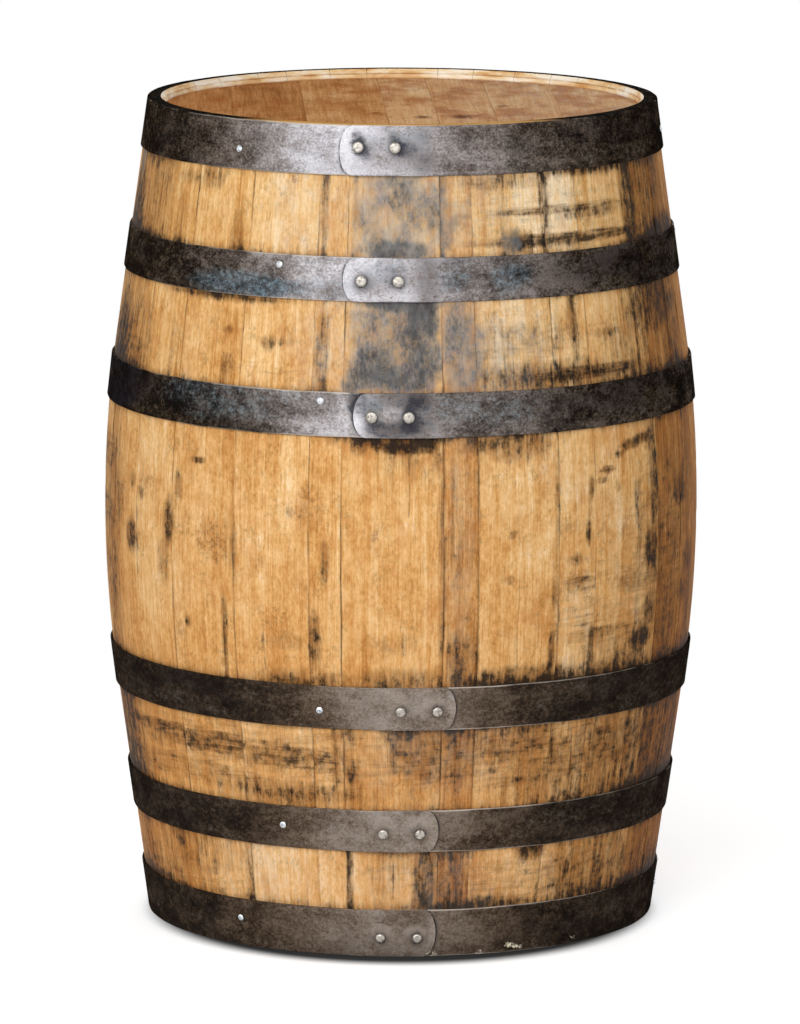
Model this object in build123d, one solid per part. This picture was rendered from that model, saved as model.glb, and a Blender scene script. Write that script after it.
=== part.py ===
from build123d import *

import math
import os

# An oak cask standing on end: bent staves in six riveted hoops, a boarded head let into a groove at
# either end, and a tapered bung in the widest stave. Millimetres, +Z up, origin at the middle of the
# bottom end, -Y towards the front, where the hoops are riveted. Angles are degrees round the cask
# from the front, positive to the right of someone who faces it.

# The cask's form
cask_height = 889.0
bilge_radius = 321.8  # outside of the wood at mid-height
chime_radius = 272.5  # outside of the wood at either end
bend_half_length = 186.0  # the bent middle of a stave, either side of mid-height
stave_thickness = 27.0

# Stave widths as shares of a full turn, from the first joint round to the right
first_joint_angle = -77.0
front_stave_shares = (15.3, 12.4, 15.8, 15.9, 6.3, 19.4, 6.7, 16.7, 8.6, 18.8, 10.2)
right_stave_shares = (8.4, 12.2, 9.6, 11.3, 7.8, 13.4, 8.9, 10.6, 11.0, 8.9)
bung_stave_share = 17.6
left_stave_shares = (9.3, 11.6, 8.2, 12.8, 10.6, 7.4, 12.1, 9.8, 12.4)

# Stave ends: flat, bevelled towards the head, then grooved to hold it
chime_flat = 12.3
chime_bevel_run = 4.4
chime_bevel_drop = 8.5
croze_depth = 5.0
croze_mouth = 11.0
croze_floor = 4.0
howel_length = 62.0  # from the stave's end to where its inside runs at full thickness

# Heads
head_recess = 9.5  # below the stave ends
head_thickness = 25.0
head_bevel = 10.0  # round the inner face
head_clearance = 0.3
board_joint_shares = (0.14, 0.292, 0.4625, 0.566, 0.688, 0.829)  # of the head's width
top_board_angle = 2.0
bottom_board_angle = -34.0

# Dowels between the boards of a head
dowel_radius = 4.0
dowel_length = 40.0
dowel_clearance = 0.05
dowel_end_clearance = 1.0
dowel_place_shares = (0.38, 0.52)  # of a joint's half length, taken by turns

# Hoops: strips whose ends lap at the front
hoop_thickness = 2.0
hoop_clearance = 0.1
hoop_setback = 0.5  # of a head hoop from the stave ends
head_hoop_width = 52.0
quarter_hoop_width = 46.0
bilge_hoop_width = 46.5
upper_quarter_drop = 137.0  # from the top end to the hoop's upper edge
upper_bilge_drop = 277.5
lower_bilge_rise = 252.0  # from the bottom end to the hoop's lower edge
lower_quarter_rise = 117.0
lap_margin = 19.5  # from an end of the lap to the nearest rivet
rivet_spacing = 38.3
lap_gap = 0.1  # between the two layers
lap_ramp = 26.0  # where the outer layer comes down to the wood
lap_bulge = 11.0  # of the rounded outer end

# Rivets at the laps
rivet_radius = 3.4
rivet_foot_radius = 5.0  # flat inner end, let into the inner layer
rivet_foot_thickness = 1.0
rivet_clearance = 0.1
upper_rivet_head_radius = 6.3
lower_rivet_head_radius = 5.4
rivet_head_side = 1.5
rivet_head_rise = 2.0

# Screws that keep the hoops from slipping
screw_radius = 1.9
screw_length = 14.0  # below the head
screw_point = 3.0
screw_clearance = 0.1
screw_head_radius = 3.5
screw_head_side = 0.7
screw_head_rise = 1.3
screws_per_hoop = 3

# Bung, tapered to wedge in its hole
bung_radius = 26.0  # at the outer end
bung_inner_radius = 23.6
bung_length = 38.0
bung_chamfer = 1.5
bung_clearance = 0.3

# How far cutting shapes run past what they cut
overrun = 5.0

# The stave's curve: an arc at the middle, with a straight cone from each end of it to the stave's end
mid_height = cask_height / 2
straight_length = mid_height - bend_half_length
half_slope = 0.0
for _ in range(30):
    half_slope = (bilge_radius - chime_radius) / (
        bend_half_length + 2 * straight_length / (1 - half_slope**2)
    )
end_angle = 2 * math.atan(half_slope)
end_slope = math.tan(end_angle)
bend_curvature = math.sin(end_angle) / bend_half_length
bend_end_radius = chime_radius + straight_length * end_slope
wall_radius = chime_radius - chime_flat - chime_bevel_run
head_radius = wall_radius - head_clearance
lap_length = rivet_spacing + 2 * lap_margin

# The staves in order, with the angle of the joint where each begins
stave_shares = front_stave_shares + right_stave_shares + (bung_stave_share,) + left_stave_shares
stave_angles = [360 * share / sum(stave_shares) for share in stave_shares]
stave_starts = [first_joint_angle + sum(stave_angles[:index]) for index in range(len(stave_angles))]
bung_stave_place = len(front_stave_shares) + len(right_stave_shares)
bung_angle = stave_starts[bung_stave_place] + stave_angles[bung_stave_place] / 2

# Each hoop's lower edge, width and fastenings; a lap runs from its outer end to the right (1) or left (-1)
hoops = {
    "top_head_hoop": {
        "low": cask_height - hoop_setback - head_hoop_width,
        "width": head_hoop_width,
        "lap_end": -13.5,
        "lap_way": 1,
        "rivet_share": 0.555,
        "rivet_head": upper_rivet_head_radius,
        "screw_angle": -37.8,
        "screw_share": 0.40,
    },
    "top_quarter_hoop": {
        "low": cask_height - upper_quarter_drop - quarter_hoop_width,
        "width": quarter_hoop_width,
        "lap_end": -11.9,
        "lap_way": 1,
        "rivet_share": 0.455,
        "rivet_head": upper_rivet_head_radius,
        "screw_angle": -25.7,
        "screw_share": 0.76,
    },
    "top_bilge_hoop": {
        "low": cask_height - upper_bilge_drop - bilge_hoop_width,
        "width": bilge_hoop_width,
        "lap_end": -9.1,
        "lap_way": 1,
        "rivet_share": 0.455,
        "rivet_head": upper_rivet_head_radius,
        "screw_angle": -15.6,
        "screw_share": 0.79,
    },
    "bottom_bilge_hoop": {
        "low": lower_bilge_rise,
        "width": bilge_hoop_width,
        "lap_end": 10.7,
        "lap_way": -1,
        "rivet_share": 0.46,
        "rivet_head": lower_rivet_head_radius,
        "screw_angle": -15.8,
        "screw_share": 0.43,
    },
    "bottom_quarter_hoop": {
        "low": lower_quarter_rise,
        "width": quarter_hoop_width,
        "lap_end": 7.9,
        "lap_way": -1,
        "rivet_share": 0.46,
        "rivet_head": lower_rivet_head_radius,
        "screw_angle": -24.9,
        "screw_share": 0.54,
    },
    "bottom_head_hoop": {
        "low": hoop_setback,
        "width": head_hoop_width,
        "lap_end": 7.8,
        "lap_way": -1,
        "rivet_share": 0.415,
        "rivet_head": lower_rivet_head_radius,
        "screw_angle": -37.4,
        "screw_share": 0.59,
    },
}


def polar(radius, angle, height):
    """Point at a radius, at an angle round the cask from its front."""
    turn = math.radians(angle)
    return Vector(radius * math.sin(turn), -radius * math.cos(turn), height)


def outer_radius(height):
    """Radius of the wood's outside at a height."""
    reach = abs(height - mid_height)
    if reach > bend_half_length:
        return bend_end_radius - (reach - bend_half_length) * end_slope
    return bilge_radius - bend_curvature * reach**2 / (1 + math.sqrt(1 - (bend_curvature * reach) ** 2))


def outer_slope(height):
    """How much the wood's outside widens for each millimetre of height."""
    reach = mid_height - height
    if abs(reach) > bend_half_length:
        return end_slope * math.copysign(1, reach)
    return bend_curvature * reach / math.sqrt(1 - (bend_curvature * reach) ** 2)


def inner_radius(height):
    """Radius of the staves' inside at a height, between the howels."""
    return outer_radius(height) - stave_thickness


def radial_face(angle, outline):
    """Face in the upright plane at an angle, from points (radius, height) in order."""
    corners = [polar(radius, angle, height) for radius, height in outline]
    return make_face(Polyline(*corners, close=True))


def turned(outline):
    """Solid of revolution about the Z axis, from lines and arcs in the XZ plane."""
    return revolve(make_face(outline), Axis.Z)


def dome(radius, base, rise):
    """Arc over a fastener's head, from its rim at height base up to its middle."""
    ball = (radius**2 + rise**2) / (2 * rise)
    half = math.asin(radius / ball) / 2
    middle = (ball * math.sin(half), 0, base + rise - ball * (1 - math.cos(half)))
    return ThreePointArc((radius, 0, base), middle, (0, 0, base + rise))


# Staves


def end_outline(mirrored):
    """Points (radius, height) of a stave's end, from its outer corner to the end of its howel."""
    croze_middle = head_recess + head_thickness / 2
    flat_radius = chime_radius - chime_flat
    croze_radius = wall_radius + croze_depth
    outline = (
        (chime_radius, 0),
        (flat_radius, 0),
        (wall_radius, chime_bevel_drop),
        (wall_radius, croze_middle - croze_mouth / 2),
        (croze_radius, croze_middle - croze_floor / 2),
        (croze_radius, croze_middle + croze_floor / 2),
        (wall_radius, croze_middle + croze_mouth / 2),
        (inner_radius(howel_length), howel_length),
    )
    if mirrored:
        return [(radius, cask_height - depth) for radius, depth in outline]
    return list(outline)


def stave(start, width):
    """Bent stave between two joints, which are upright planes through the cask's axis."""

    def bend(middle_radius, end_radius):
        low = polar(end_radius, start, mid_height - bend_half_length)
        high = polar(end_radius, start, mid_height + bend_half_length)
        return ThreePointArc(low, polar(middle_radius, start, mid_height), high)

    outside = bend(bilge_radius, bend_end_radius)
    inside = bend(bilge_radius - stave_thickness, bend_end_radius - stave_thickness)
    top = [polar(radius, start, height) for radius, height in end_outline(True)]
    bottom = [polar(radius, start, height) for radius, height in end_outline(False)]
    over_top = Polyline(outside @ 1, *top, inside @ 1)
    under_bottom = Polyline(outside @ 0, *bottom, inside @ 0)
    return revolve(make_face([outside, over_top, inside, under_bottom]), Axis.Z, width)


# Hoops


def hoop_place(hoop, share, angle):
    """Plane on a hoop's inner face, at a share of its width, with X up it and Z out of the cask."""
    middle = hoop["low"] + hoop["width"] / 2
    slope = outer_slope(middle)
    height = hoop["low"] + share * hoop["width"]
    radius = outer_radius(middle) + hoop_clearance + slope * (height - middle)
    upward = polar(slope, angle, 1)
    outward = polar(1, angle, -slope)
    return Plane(origin=polar(radius, angle, height), x_dir=upward, z_dir=outward)


def strip_face(hoop, angle, layer):
    """Section of a hoop's strip at an angle: layer 0 lies on the wood, layer 1 over layer 0."""
    middle = hoop["low"] + hoop["width"] / 2
    slope = outer_slope(middle)
    radius = outer_radius(middle) + hoop_clearance + layer * (hoop_thickness + lap_gap)
    lean = slope * hoop["width"] / 2
    high = hoop["low"] + hoop["width"]
    outline = [
        (radius - lean, hoop["low"]),
        (radius - lean + hoop_thickness, hoop["low"]),
        (radius + lean + hoop_thickness, high),
        (radius + lean, high),
    ]
    return radial_face(angle, outline)


def lap_angles(hoop):
    """Angles that a hoop's lap and its ramp take up."""
    radius = outer_radius(hoop["low"] + hoop["width"] / 2)
    return math.degrees(lap_length / radius), math.degrees(lap_ramp / radius)


def rounded_end(hoop):
    """Block that holds a lap's outer layer and rounds its free end, bulging by lap_bulge."""
    middle = hoop["low"] + hoop["width"] / 2
    along = polar(hoop["lap_way"], hoop["lap_end"] + 90, 0)
    place = Plane(
        origin=polar(outer_radius(middle), hoop["lap_end"], middle),
        x_dir=along,
        z_dir=polar(1, hoop["lap_end"], 0),
    )
    half = hoop["width"] / 2 + overrun
    end = ThreePointArc((lap_bulge, -half), (0, 0), (lap_bulge, half))
    sides = Polyline((lap_bulge, half), (lap_length, half), (lap_length, -half), (lap_bulge, -half))
    reach = lap_length + hoop_thickness
    return extrude(place * make_face([end, sides]), amount=reach, dir=place.z_dir, both=True)


def hoop_strip(hoop):
    """Hoop as one strip: round the wood, up a ramp and over its own end to a rounded outer end."""
    lap, ramp = lap_angles(hoop)
    way = hoop["lap_way"]
    end = hoop["lap_end"]
    ramp_top = end + way * lap
    ramp_foot = ramp_top + way * ramp
    ring = revolve(strip_face(hoop, max(ramp_top, ramp_foot), 0), Axis.Z, 360 - ramp)
    rise = loft([strip_face(hoop, ramp_top, 1), strip_face(hoop, ramp_foot, 0)], ruled=True)
    cover = revolve(strip_face(hoop, min(end, ramp_top), 1), Axis.Z, lap) & rounded_end(hoop)
    return ring + rise + cover


# Fasteners


def rivet(head_radius):
    """Rivet through both layers of a lap, from the hoop's inner face outwards."""
    seat = 2 * hoop_thickness + lap_gap + rivet_clearance
    rim = seat + rivet_head_side
    foot = rivet_clearance
    foot_top = foot + rivet_foot_thickness
    outline = Polyline(
        (0, 0, rim + rivet_head_rise),
        (0, 0, foot),
        (rivet_foot_radius, 0, foot),
        (rivet_foot_radius, 0, foot_top),
        (rivet_radius, 0, foot_top),
        (rivet_radius, 0, seat),
        (head_radius, 0, seat),
        (head_radius, 0, rim),
    )
    return turned([outline, dome(head_radius, rim, rivet_head_rise)])


def rivet_hole():
    """Hole for a rivet through both layers of a lap, wider where its inner end is let in."""
    radius = rivet_radius + rivet_clearance
    foot_radius = rivet_foot_radius + rivet_clearance
    foot_top = rivet_foot_thickness + 2 * rivet_clearance
    through = 2 * hoop_thickness + lap_gap + overrun
    outline = Polyline(
        (0, 0, -overrun),
        (foot_radius, 0, -overrun),
        (foot_radius, 0, foot_top),
        (radius, 0, foot_top),
        (radius, 0, through),
        (0, 0, through),
        close=True,
    )
    return turned(outline)


def rivet_angles(hoop):
    """Angles of a lap's two rivets."""
    radius = outer_radius(hoop["low"] + hoop["width"] / 2)
    reaches = (lap_margin, lap_margin + rivet_spacing)
    return [hoop["lap_end"] + hoop["lap_way"] * math.degrees(reach / radius) for reach in reaches]


def screw():
    """Round-headed screw through a hoop into a stave, from the hoop's inner face outwards."""
    seat = hoop_thickness + screw_clearance
    rim = seat + screw_head_side
    tip = seat - screw_length
    outline = Polyline(
        (0, 0, rim + screw_head_rise),
        (0, 0, tip),
        (screw_radius, 0, tip + screw_point),
        (screw_radius, 0, seat),
        (screw_head_radius, 0, seat),
        (screw_head_radius, 0, rim),
    )
    return turned([outline, dome(screw_head_radius, rim, screw_head_rise)])


def screw_hole():
    """Hole for a screw's shank, through the hoop and into the wood."""
    radius = screw_radius + screw_clearance
    tip = hoop_thickness - screw_length
    outline = Polyline(
        (0, 0, tip - screw_clearance),
        (radius, 0, tip + screw_point - screw_clearance),
        (radius, 0, hoop_thickness + overrun),
        (0, 0, hoop_thickness + overrun),
        close=True,
    )
    return turned(outline)


def stave_middle(angle):
    """Angle of the middle of the stave that lies at an angle."""
    turn = (angle - first_joint_angle) % 360 + first_joint_angle
    place = sum(start <= turn for start in stave_starts) - 1
    return stave_starts[place] + stave_angles[place] / 2


def screw_angles(hoop):
    """Angles of a hoop's screws: the front one as it is, the others in the middle of staves."""
    step = 360 / screws_per_hoop
    others = [stave_middle(hoop["screw_angle"] + step * turn) for turn in range(1, screws_per_hoop)]
    return [hoop["screw_angle"], *others]


# Heads


def head_disc(mirrored):
    """Whole head: flat outside, with a tongue in the croze and a bevel round its inner face."""
    tongue_middle = head_recess + head_thickness / 2
    tongue_base = croze_mouth / 2 - head_clearance
    tongue_tip = croze_floor / 2 - head_clearance
    tip_radius = wall_radius + croze_depth - head_clearance
    outline = [
        (0, head_recess),
        (head_radius, head_recess),
        (head_radius, tongue_middle - tongue_base),
        (tip_radius, tongue_middle - tongue_tip),
        (tip_radius, tongue_middle + tongue_tip),
        (head_radius, tongue_middle + tongue_base),
        (head_radius - head_bevel, head_recess + head_thickness),
        (0, head_recess + head_thickness),
    ]
    if mirrored:
        outline = [(radius, cask_height - depth) for radius, depth in outline]
    return revolve(radial_face(0, outline), Axis.Z)


def head_boards(mirrored, turn):
    """Boards of a head from left to right, and the dowels between them."""
    tongue_radius = wall_radius + croze_depth
    middle = head_recess + head_thickness / 2
    height = cask_height - middle if mirrored else middle
    joints = [(2 * share - 1) * head_radius for share in board_joint_shares]
    edges = [-tongue_radius - overrun, *joints, tongue_radius + overrun]
    spin = Rot(0, 0, turn)
    dowel = Rot(0, 90, 0) * Cylinder(dowel_radius, dowel_length)
    hole_length = dowel_length + 2 * dowel_end_clearance
    hole = Rot(0, 90, 0) * Cylinder(dowel_radius + dowel_clearance, hole_length)
    seats = []
    for place, joint in enumerate(joints):
        half_joint = math.sqrt(head_radius**2 - joint**2)
        reach = half_joint * dowel_place_shares[place % len(dowel_place_shares)]
        seats += [spin * Pos(joint, side * reach, height) for side in (-1, 1)]
    holes = [seat * hole for seat in seats]
    disc = head_disc(mirrored)
    boards = []
    for left, right in zip(edges, edges[1:]):
        slab = Box(right - left, 2 * (tongue_radius + overrun), head_thickness + overrun)
        board = disc & (spin * Pos((left + right) / 2, 0, height) * slab)
        boards.append(board - holes)
    return boards, [seat * dowel for seat in seats]


# Bung


def bung_taper(clearance, inner, outer):
    """Tapered plug on the bung's axis, between two distances out of the bung's outer end."""
    taper = (bung_radius - bung_inner_radius) / bung_length
    outline = Polyline(
        (0, 0, inner),
        (bung_radius + clearance + taper * inner, 0, inner),
        (bung_radius + clearance + taper * outer, 0, outer),
        (0, 0, outer),
        close=True,
    )
    return turned(outline)


bung_reach = math.sqrt(bilge_radius**2 - bung_radius**2)
bung_place = Plane(origin=polar(bung_reach, bung_angle, mid_height), z_dir=polar(1, bung_angle, 0))
plug = bung_taper(0, -bung_length, 0)
plug = chamfer(plug.edges().sort_by(Axis.Z)[-1], bung_chamfer)
bung = bung_place * plug
bung_hole = bung_place * bung_taper(bung_clearance, -bung_length - overrun, overrun)

# Fasteners in place, and the holes that they need
nodes = {}
screws = []
pilot_holes = []
upper_rivets = []
lower_rivets = []
for name, hoop in hoops.items():
    rivet_places = [hoop_place(hoop, hoop["rivet_share"], angle) for angle in rivet_angles(hoop)]
    group = upper_rivets if hoop["low"] > mid_height else lower_rivets
    group += [place * rivet(hoop["rivet_head"]) for place in rivet_places]
    holes = [place * rivet_hole() for place in rivet_places]
    for angle in screw_angles(hoop):
        place = hoop_place(hoop, hoop["screw_share"], angle)
        screws.append(place * screw())
        hole = place * screw_hole()
        holes.append(hole)
        pilot_holes.append((angle, hole))
    nodes[name] = hoop_strip(hoop) - holes
nodes["upper_hoop_rivets"] = Compound(children=upper_rivets)
nodes["lower_hoop_rivets"] = Compound(children=lower_rivets)
nodes["hoop_screws"] = Compound(children=screws)

# Staves in place, with a hole for each screw that reaches them
hole_reach = math.degrees((screw_radius + screw_clearance) / chime_radius)
number = 0
for place, (start, width) in enumerate(zip(stave_starts, stave_angles)):
    board = stave(start, width)
    for angle, hole in pilot_holes:
        past = (angle - start + hole_reach) % 360
        if past < width + 2 * hole_reach:
            board -= hole
    if place == bung_stave_place:
        nodes["bung_stave"] = board - bung_hole
    else:
        number += 1
        nodes[f"stave_{number:02d}"] = board

# Heads in place
for end, mirrored, turn in (("top", True, top_board_angle), ("bottom", False, bottom_board_angle)):
    boards, dowels = head_boards(mirrored, turn)
    for place, board in enumerate(boards, 1):
        nodes[f"{end}_head_board_{place}"] = board
    nodes[f"{end}_head_dowels"] = Compound(children=dowels)

nodes["bung"] = bung

os.makedirs("parts", exist_ok=True)
for name, shape in nodes.items():
    export_step(shape, f"parts/{name}.step")
print(len(nodes), "nodes; ends slope", round(math.degrees(end_angle), 2), "degrees")
print("bend radius", round(1 / bend_curvature, 1), "mm; bung at", round(bung_angle, 2), "degrees")
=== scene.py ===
import math

import bpy
import numpy as np
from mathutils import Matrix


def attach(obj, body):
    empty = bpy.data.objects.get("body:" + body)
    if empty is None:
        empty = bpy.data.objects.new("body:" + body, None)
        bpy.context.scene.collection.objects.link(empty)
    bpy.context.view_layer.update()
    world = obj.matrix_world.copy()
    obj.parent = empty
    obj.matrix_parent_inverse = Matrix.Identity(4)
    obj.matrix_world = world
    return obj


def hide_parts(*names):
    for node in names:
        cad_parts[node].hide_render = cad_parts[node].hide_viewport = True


# An oak cask standing on end. Lengths are millimetres until a mesh is made, heights run from the
# bottom end, and angles are degrees round the cask from its front, positive to the right.
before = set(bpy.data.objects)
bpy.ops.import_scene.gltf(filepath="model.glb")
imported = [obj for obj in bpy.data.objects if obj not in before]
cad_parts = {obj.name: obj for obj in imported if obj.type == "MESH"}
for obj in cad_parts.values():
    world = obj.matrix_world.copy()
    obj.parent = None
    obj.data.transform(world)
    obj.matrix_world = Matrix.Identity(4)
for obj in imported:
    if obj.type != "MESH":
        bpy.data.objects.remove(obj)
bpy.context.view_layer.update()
mm = 0.001
rng = np.random.default_rng(53)
print("frame loaded:", len(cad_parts), "nodes")

# the photograph's frame, and a camera that sees the cask as it does
photo = {
    "width": 800,
    "height": 1024,
    "focal": 8210.0,  # in pixels
    "place": (-1.0, -8804.0, 1901.0),
    "pitch": 9.462,  # degrees down
    "roll": 0.18,
    "sensor": 36.0,
}

caskForm = {
    "height": 889.0,
    "bilgeRadius": 321.8,
    "chimeRadius": 272.5,
    "bendHalf": 186.0,  # half the height of the part that is bent
    "thickness": 27.0,
}
caskHeight, bilgeRadius, chimeRadius, bendHalf, staveThickness = caskForm.values()
midHeight = caskHeight / 2
straight = midHeight - bendHalf
halfSlope = 0.0
for _ in range(30):  # the arc and the cone meet with the same slope
    halfSlope = (bilgeRadius - chimeRadius) / (bendHalf + 2 * straight / (1 - halfSlope**2))
endAngle = 2 * math.atan(halfSlope)
endSlope = math.tan(endAngle)
bendCurvature = math.sin(endAngle) / bendHalf
bendEndRadius = chimeRadius + straight * endSlope


def outerRadius(height):
    # a circular arc about mid-height, then a straight cone to either end
    reach = np.abs(np.asarray(height, float) - midHeight)
    inArc = np.minimum(reach, bendHalf) * bendCurvature
    arc = bilgeRadius - np.minimum(reach, bendHalf) * inArc / (1 + np.sqrt(1 - inArc**2))
    return np.where(reach > bendHalf, bendEndRadius - (reach - bendHalf) * endSlope, arc)


def outerSlope(height):
    # what the radius gains for each millimetre of height: the derivative of outerRadius
    reach = midHeight - np.asarray(height, float)
    inArc = np.clip(reach, -bendHalf, bendHalf) * bendCurvature
    return inArc / np.sqrt(1 - inArc**2)


def polar(radius, angle, height):
    # point at a radius and angle round the cask: x is r sin a, y is -r cos a
    radius, turn, height = np.broadcast_arrays(radius, np.radians(angle), height)
    return np.stack([radius * np.sin(turn), -radius * np.cos(turn), height], -1)


def smooth(low, high, value):
    # 0 below low, 1 above high, and a cubic ease between them
    share = np.clip((value - low) / (high - low), 0, 1)
    return share * share * (3 - 2 * share)


def ripple(across, along, spanAcross, spanAlong, count=8):
    # mean of sines with drawn directions, lengths and phases, no shorter than the two spans
    total = 0.0
    for turnAcross, turnAlong, phase, size in rng.uniform(-1, 1, (count, 4)):
        wave = across * turnAcross / spanAcross + along * turnAlong / spanAlong
        total = total + (1 + 0.5 * size) * np.sin(2 * np.pi * (wave + phase))
    return total / count


def fading(amount, distance):
    # an amount that falls off with distance: e to minus the distance over its reach
    most, reach = amount
    return most * np.exp(-distance / reach)


def rounding(amount, distance):
    # an edge worn round: full at the edge, and nought from its reach on, as a square
    most, reach = amount
    return most * np.clip(1 - distance / reach, 0, 1) ** 2


def apart(angle, other):
    # degrees from one angle to another, the short way round
    return (angle - other + 180) % 360 - 180


def caskPoint(x, y):
    # where a pixel's ray meets the cask: the radius at the height found last is used for the next try
    pitch, roll = math.radians(photo["pitch"]), math.radians(photo["roll"])
    right = (x - photo["width"] / 2) / photo["focal"]
    above = (photo["height"] / 2 - y) / photo["focal"]
    across = right * math.cos(roll) - above * math.sin(roll)
    up = right * math.sin(roll) + above * math.cos(roll)
    forward, rise = math.cos(pitch) + up * math.sin(pitch), up * math.cos(pitch) - math.sin(pitch)
    ray, eye = np.array([across, forward, rise]), np.array(photo["place"])
    a, b = ray[:2] @ ray[:2], eye[:2] @ ray[:2]
    height = midHeight
    for _ in range(12):
        radius = float(outerRadius(np.clip(height, 0, caskHeight)))
        c = eye[:2] @ eye[:2] - radius**2
        hit = eye + (-b - math.sqrt(max(0.0, b * b - a * c))) / a * ray
        height = hit[2]
    return math.degrees(math.atan2(hit[0], -hit[1])), height


def gridFaces(rows, cols, first=0, closeCols=False, flip=False):
    # four-sided faces of a grid of points that are numbered row by row
    row = np.arange(rows - 1)[:, None]
    col = np.arange(cols if closeCols else cols - 1)[None, :]
    right = (col + 1) % cols
    corners = [row * cols + col, row * cols + right, (row + 1) * cols + right, (row + 1) * cols + col]
    faces = np.stack(corners, -1).reshape(-1, 4) + first
    return faces[:, ::-1] if flip else faces


def stripFaces(lower, upper, close=False, flip=False):
    # four-sided faces between two lines of point numbers
    if close:
        lower, upper = np.append(lower, lower[0]), np.append(upper, upper[0])
    faces = np.stack([lower[:-1], lower[1:], upper[1:], upper[:-1]], -1)
    return faces[:, ::-1] if flip else faces


def fanFaces(ring, middle, flip=False):
    # triangles from a closed line of point numbers to one point
    faces = np.stack([ring, np.roll(ring, -1), np.full(len(ring), middle)], -1)
    return faces[:, ::-1] if flip else faces


def makePiece(name, points, faces, materials, body, nodes,
              faceMaterial=None, attributes=None, sharp=38):
    # points are millimetres; faces is a list of arrays of quads or triangles
    mesh = bpy.data.meshes.new(name)
    corners = np.concatenate([part.ravel() for part in faces]).astype(np.int32)
    sizes = np.concatenate([np.full(len(part), part.shape[1]) for part in faces])
    mesh.vertices.add(len(points))
    mesh.vertices.foreach_set("co", np.ascontiguousarray(points * mm, np.float32).ravel())
    mesh.loops.add(len(corners))
    mesh.loops.foreach_set("vertex_index", corners)
    mesh.polygons.add(len(sizes))
    mesh.polygons.foreach_set("loop_start", (np.cumsum(sizes) - sizes).astype(np.int32))
    for material in materials:
        mesh.materials.append(material)
    if faceMaterial is not None:
        mesh.polygons.foreach_set("material_index", np.asarray(faceMaterial, np.int32))
    for key, values in (attributes or {}).items():
        values = np.ascontiguousarray(values, np.float32)
        isVector = values.ndim == 2
        layer = mesh.attributes.new(key, "FLOAT_VECTOR" if isVector else "FLOAT", "POINT")
        layer.data.foreach_set("vector" if isVector else "value", values.ravel())
    mesh.update(calc_edges=True)
    mesh.validate()
    mesh.shade_smooth()
    mesh.set_sharp_from_angle(angle=math.radians(sharp))
    piece = bpy.data.objects.new(name, mesh)
    bpy.context.scene.collection.objects.link(piece)
    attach(piece, body)
    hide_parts(*nodes)
    return piece


def linear(hexColour):
    # sRGB hex to the linear colour that shaders take
    parts = [int(hexColour[place:place + 2], 16) / 255 for place in (1, 3, 5)]
    return (*[c / 12.92 if c <= 0.04045 else ((c + 0.055) / 1.055) ** 2.4 for c in parts], 1.0)


def addNode(tree, kind, plugs=(), stops=(), out=0, **settings):
    # adds a node, sets its properties and fills its inputs, by place or by name: a socket is linked,
    # a value is typed in; gives one output, or all of them where out is None
    made = tree.nodes.new("ShaderNode" + kind)
    for key, value in settings.items():
        setattr(made, key, value)
    for key, value in plugs.items() if isinstance(plugs, dict) else enumerate(plugs):
        if isinstance(value, bpy.types.NodeSocket):
            tree.links.new(value, made.inputs[key])
        else:
            made.inputs[key].default_value = value
    if stops:
        ramp = made.color_ramp.elements
        while len(ramp) < len(stops):
            ramp.new(0.5)
        for element, (place, colour) in zip(ramp, stops):
            element.position = place
            element.color = linear(colour) if isinstance(colour, str) else (colour, colour, colour, 1)
    return made.outputs if out is None else made.outputs[out]


def newMaterial(name):
    # an empty material and its node tree
    material = bpy.data.materials.new(name)
    material.use_nodes = True
    material.node_tree.nodes.clear()
    return material, material.node_tree


def closeMaterial(tree, colour, rough, relief, strength, depth, plugs=None):
    # relief of a depth in millimetres, the shader, and the output
    bump = addNode(tree, "Bump", {"Strength": strength, "Distance": depth * mm, "Height": relief})
    look = {"Base Color": colour, "Roughness": rough, "Normal": bump, **(plugs or {})}
    shader = addNode(tree, "BsdfPrincipled", look)
    addNode(tree, "OutputMaterial", (shader,), out=None)


def patternsOn(tree, place, patterns, slants):
    # noise stretched to a real size: millimetres across and along, octaves, roughness, distortion
    noise = {}
    for key, (across, along, detail, rough, bend) in patterns.items():
        turn = (0, 0, math.radians(slants.get(key, 0)))
        plugs = {"Vector": place, "Rotation": turn, "Scale": (across, along, 1.0)}
        drawn = addNode(tree, "Mapping", plugs, vector_type="TEXTURE")
        plugs = {"Vector": drawn, "Scale": 1.0, "Detail": detail, "Roughness": rough, "Distortion": bend}
        noise[key] = addNode(tree, "TexNoise", plugs)
    return noise


def weigh(tree, total, noise, weights):
    # adds to a value each pattern's distance from its middle, by the pattern's weight
    for key, weight in weights.items():
        centred = addNode(tree, "Math", (noise[key], 0.5), operation="SUBTRACT")
        total = addNode(tree, "Math", (centred, weight, total), operation="MULTIPLY_ADD")
    return total


def coat(tree, colour, field, low, high, most, tone, blend="MIX", ease="SMOOTHSTEP"):
    # lays a tone over a colour where a field goes from low to high, and gives how much it covers too
    share = addNode(tree, "MapRange", (field, low, high, 0.0, most), interpolation_type=ease)
    plugs = {0: share, 6: colour, 7: linear(tone) if isinstance(tone, str) else tone}
    return addNode(tree, "Mix", plugs, out=2, data_type="RGBA", blend_type=blend), share


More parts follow.
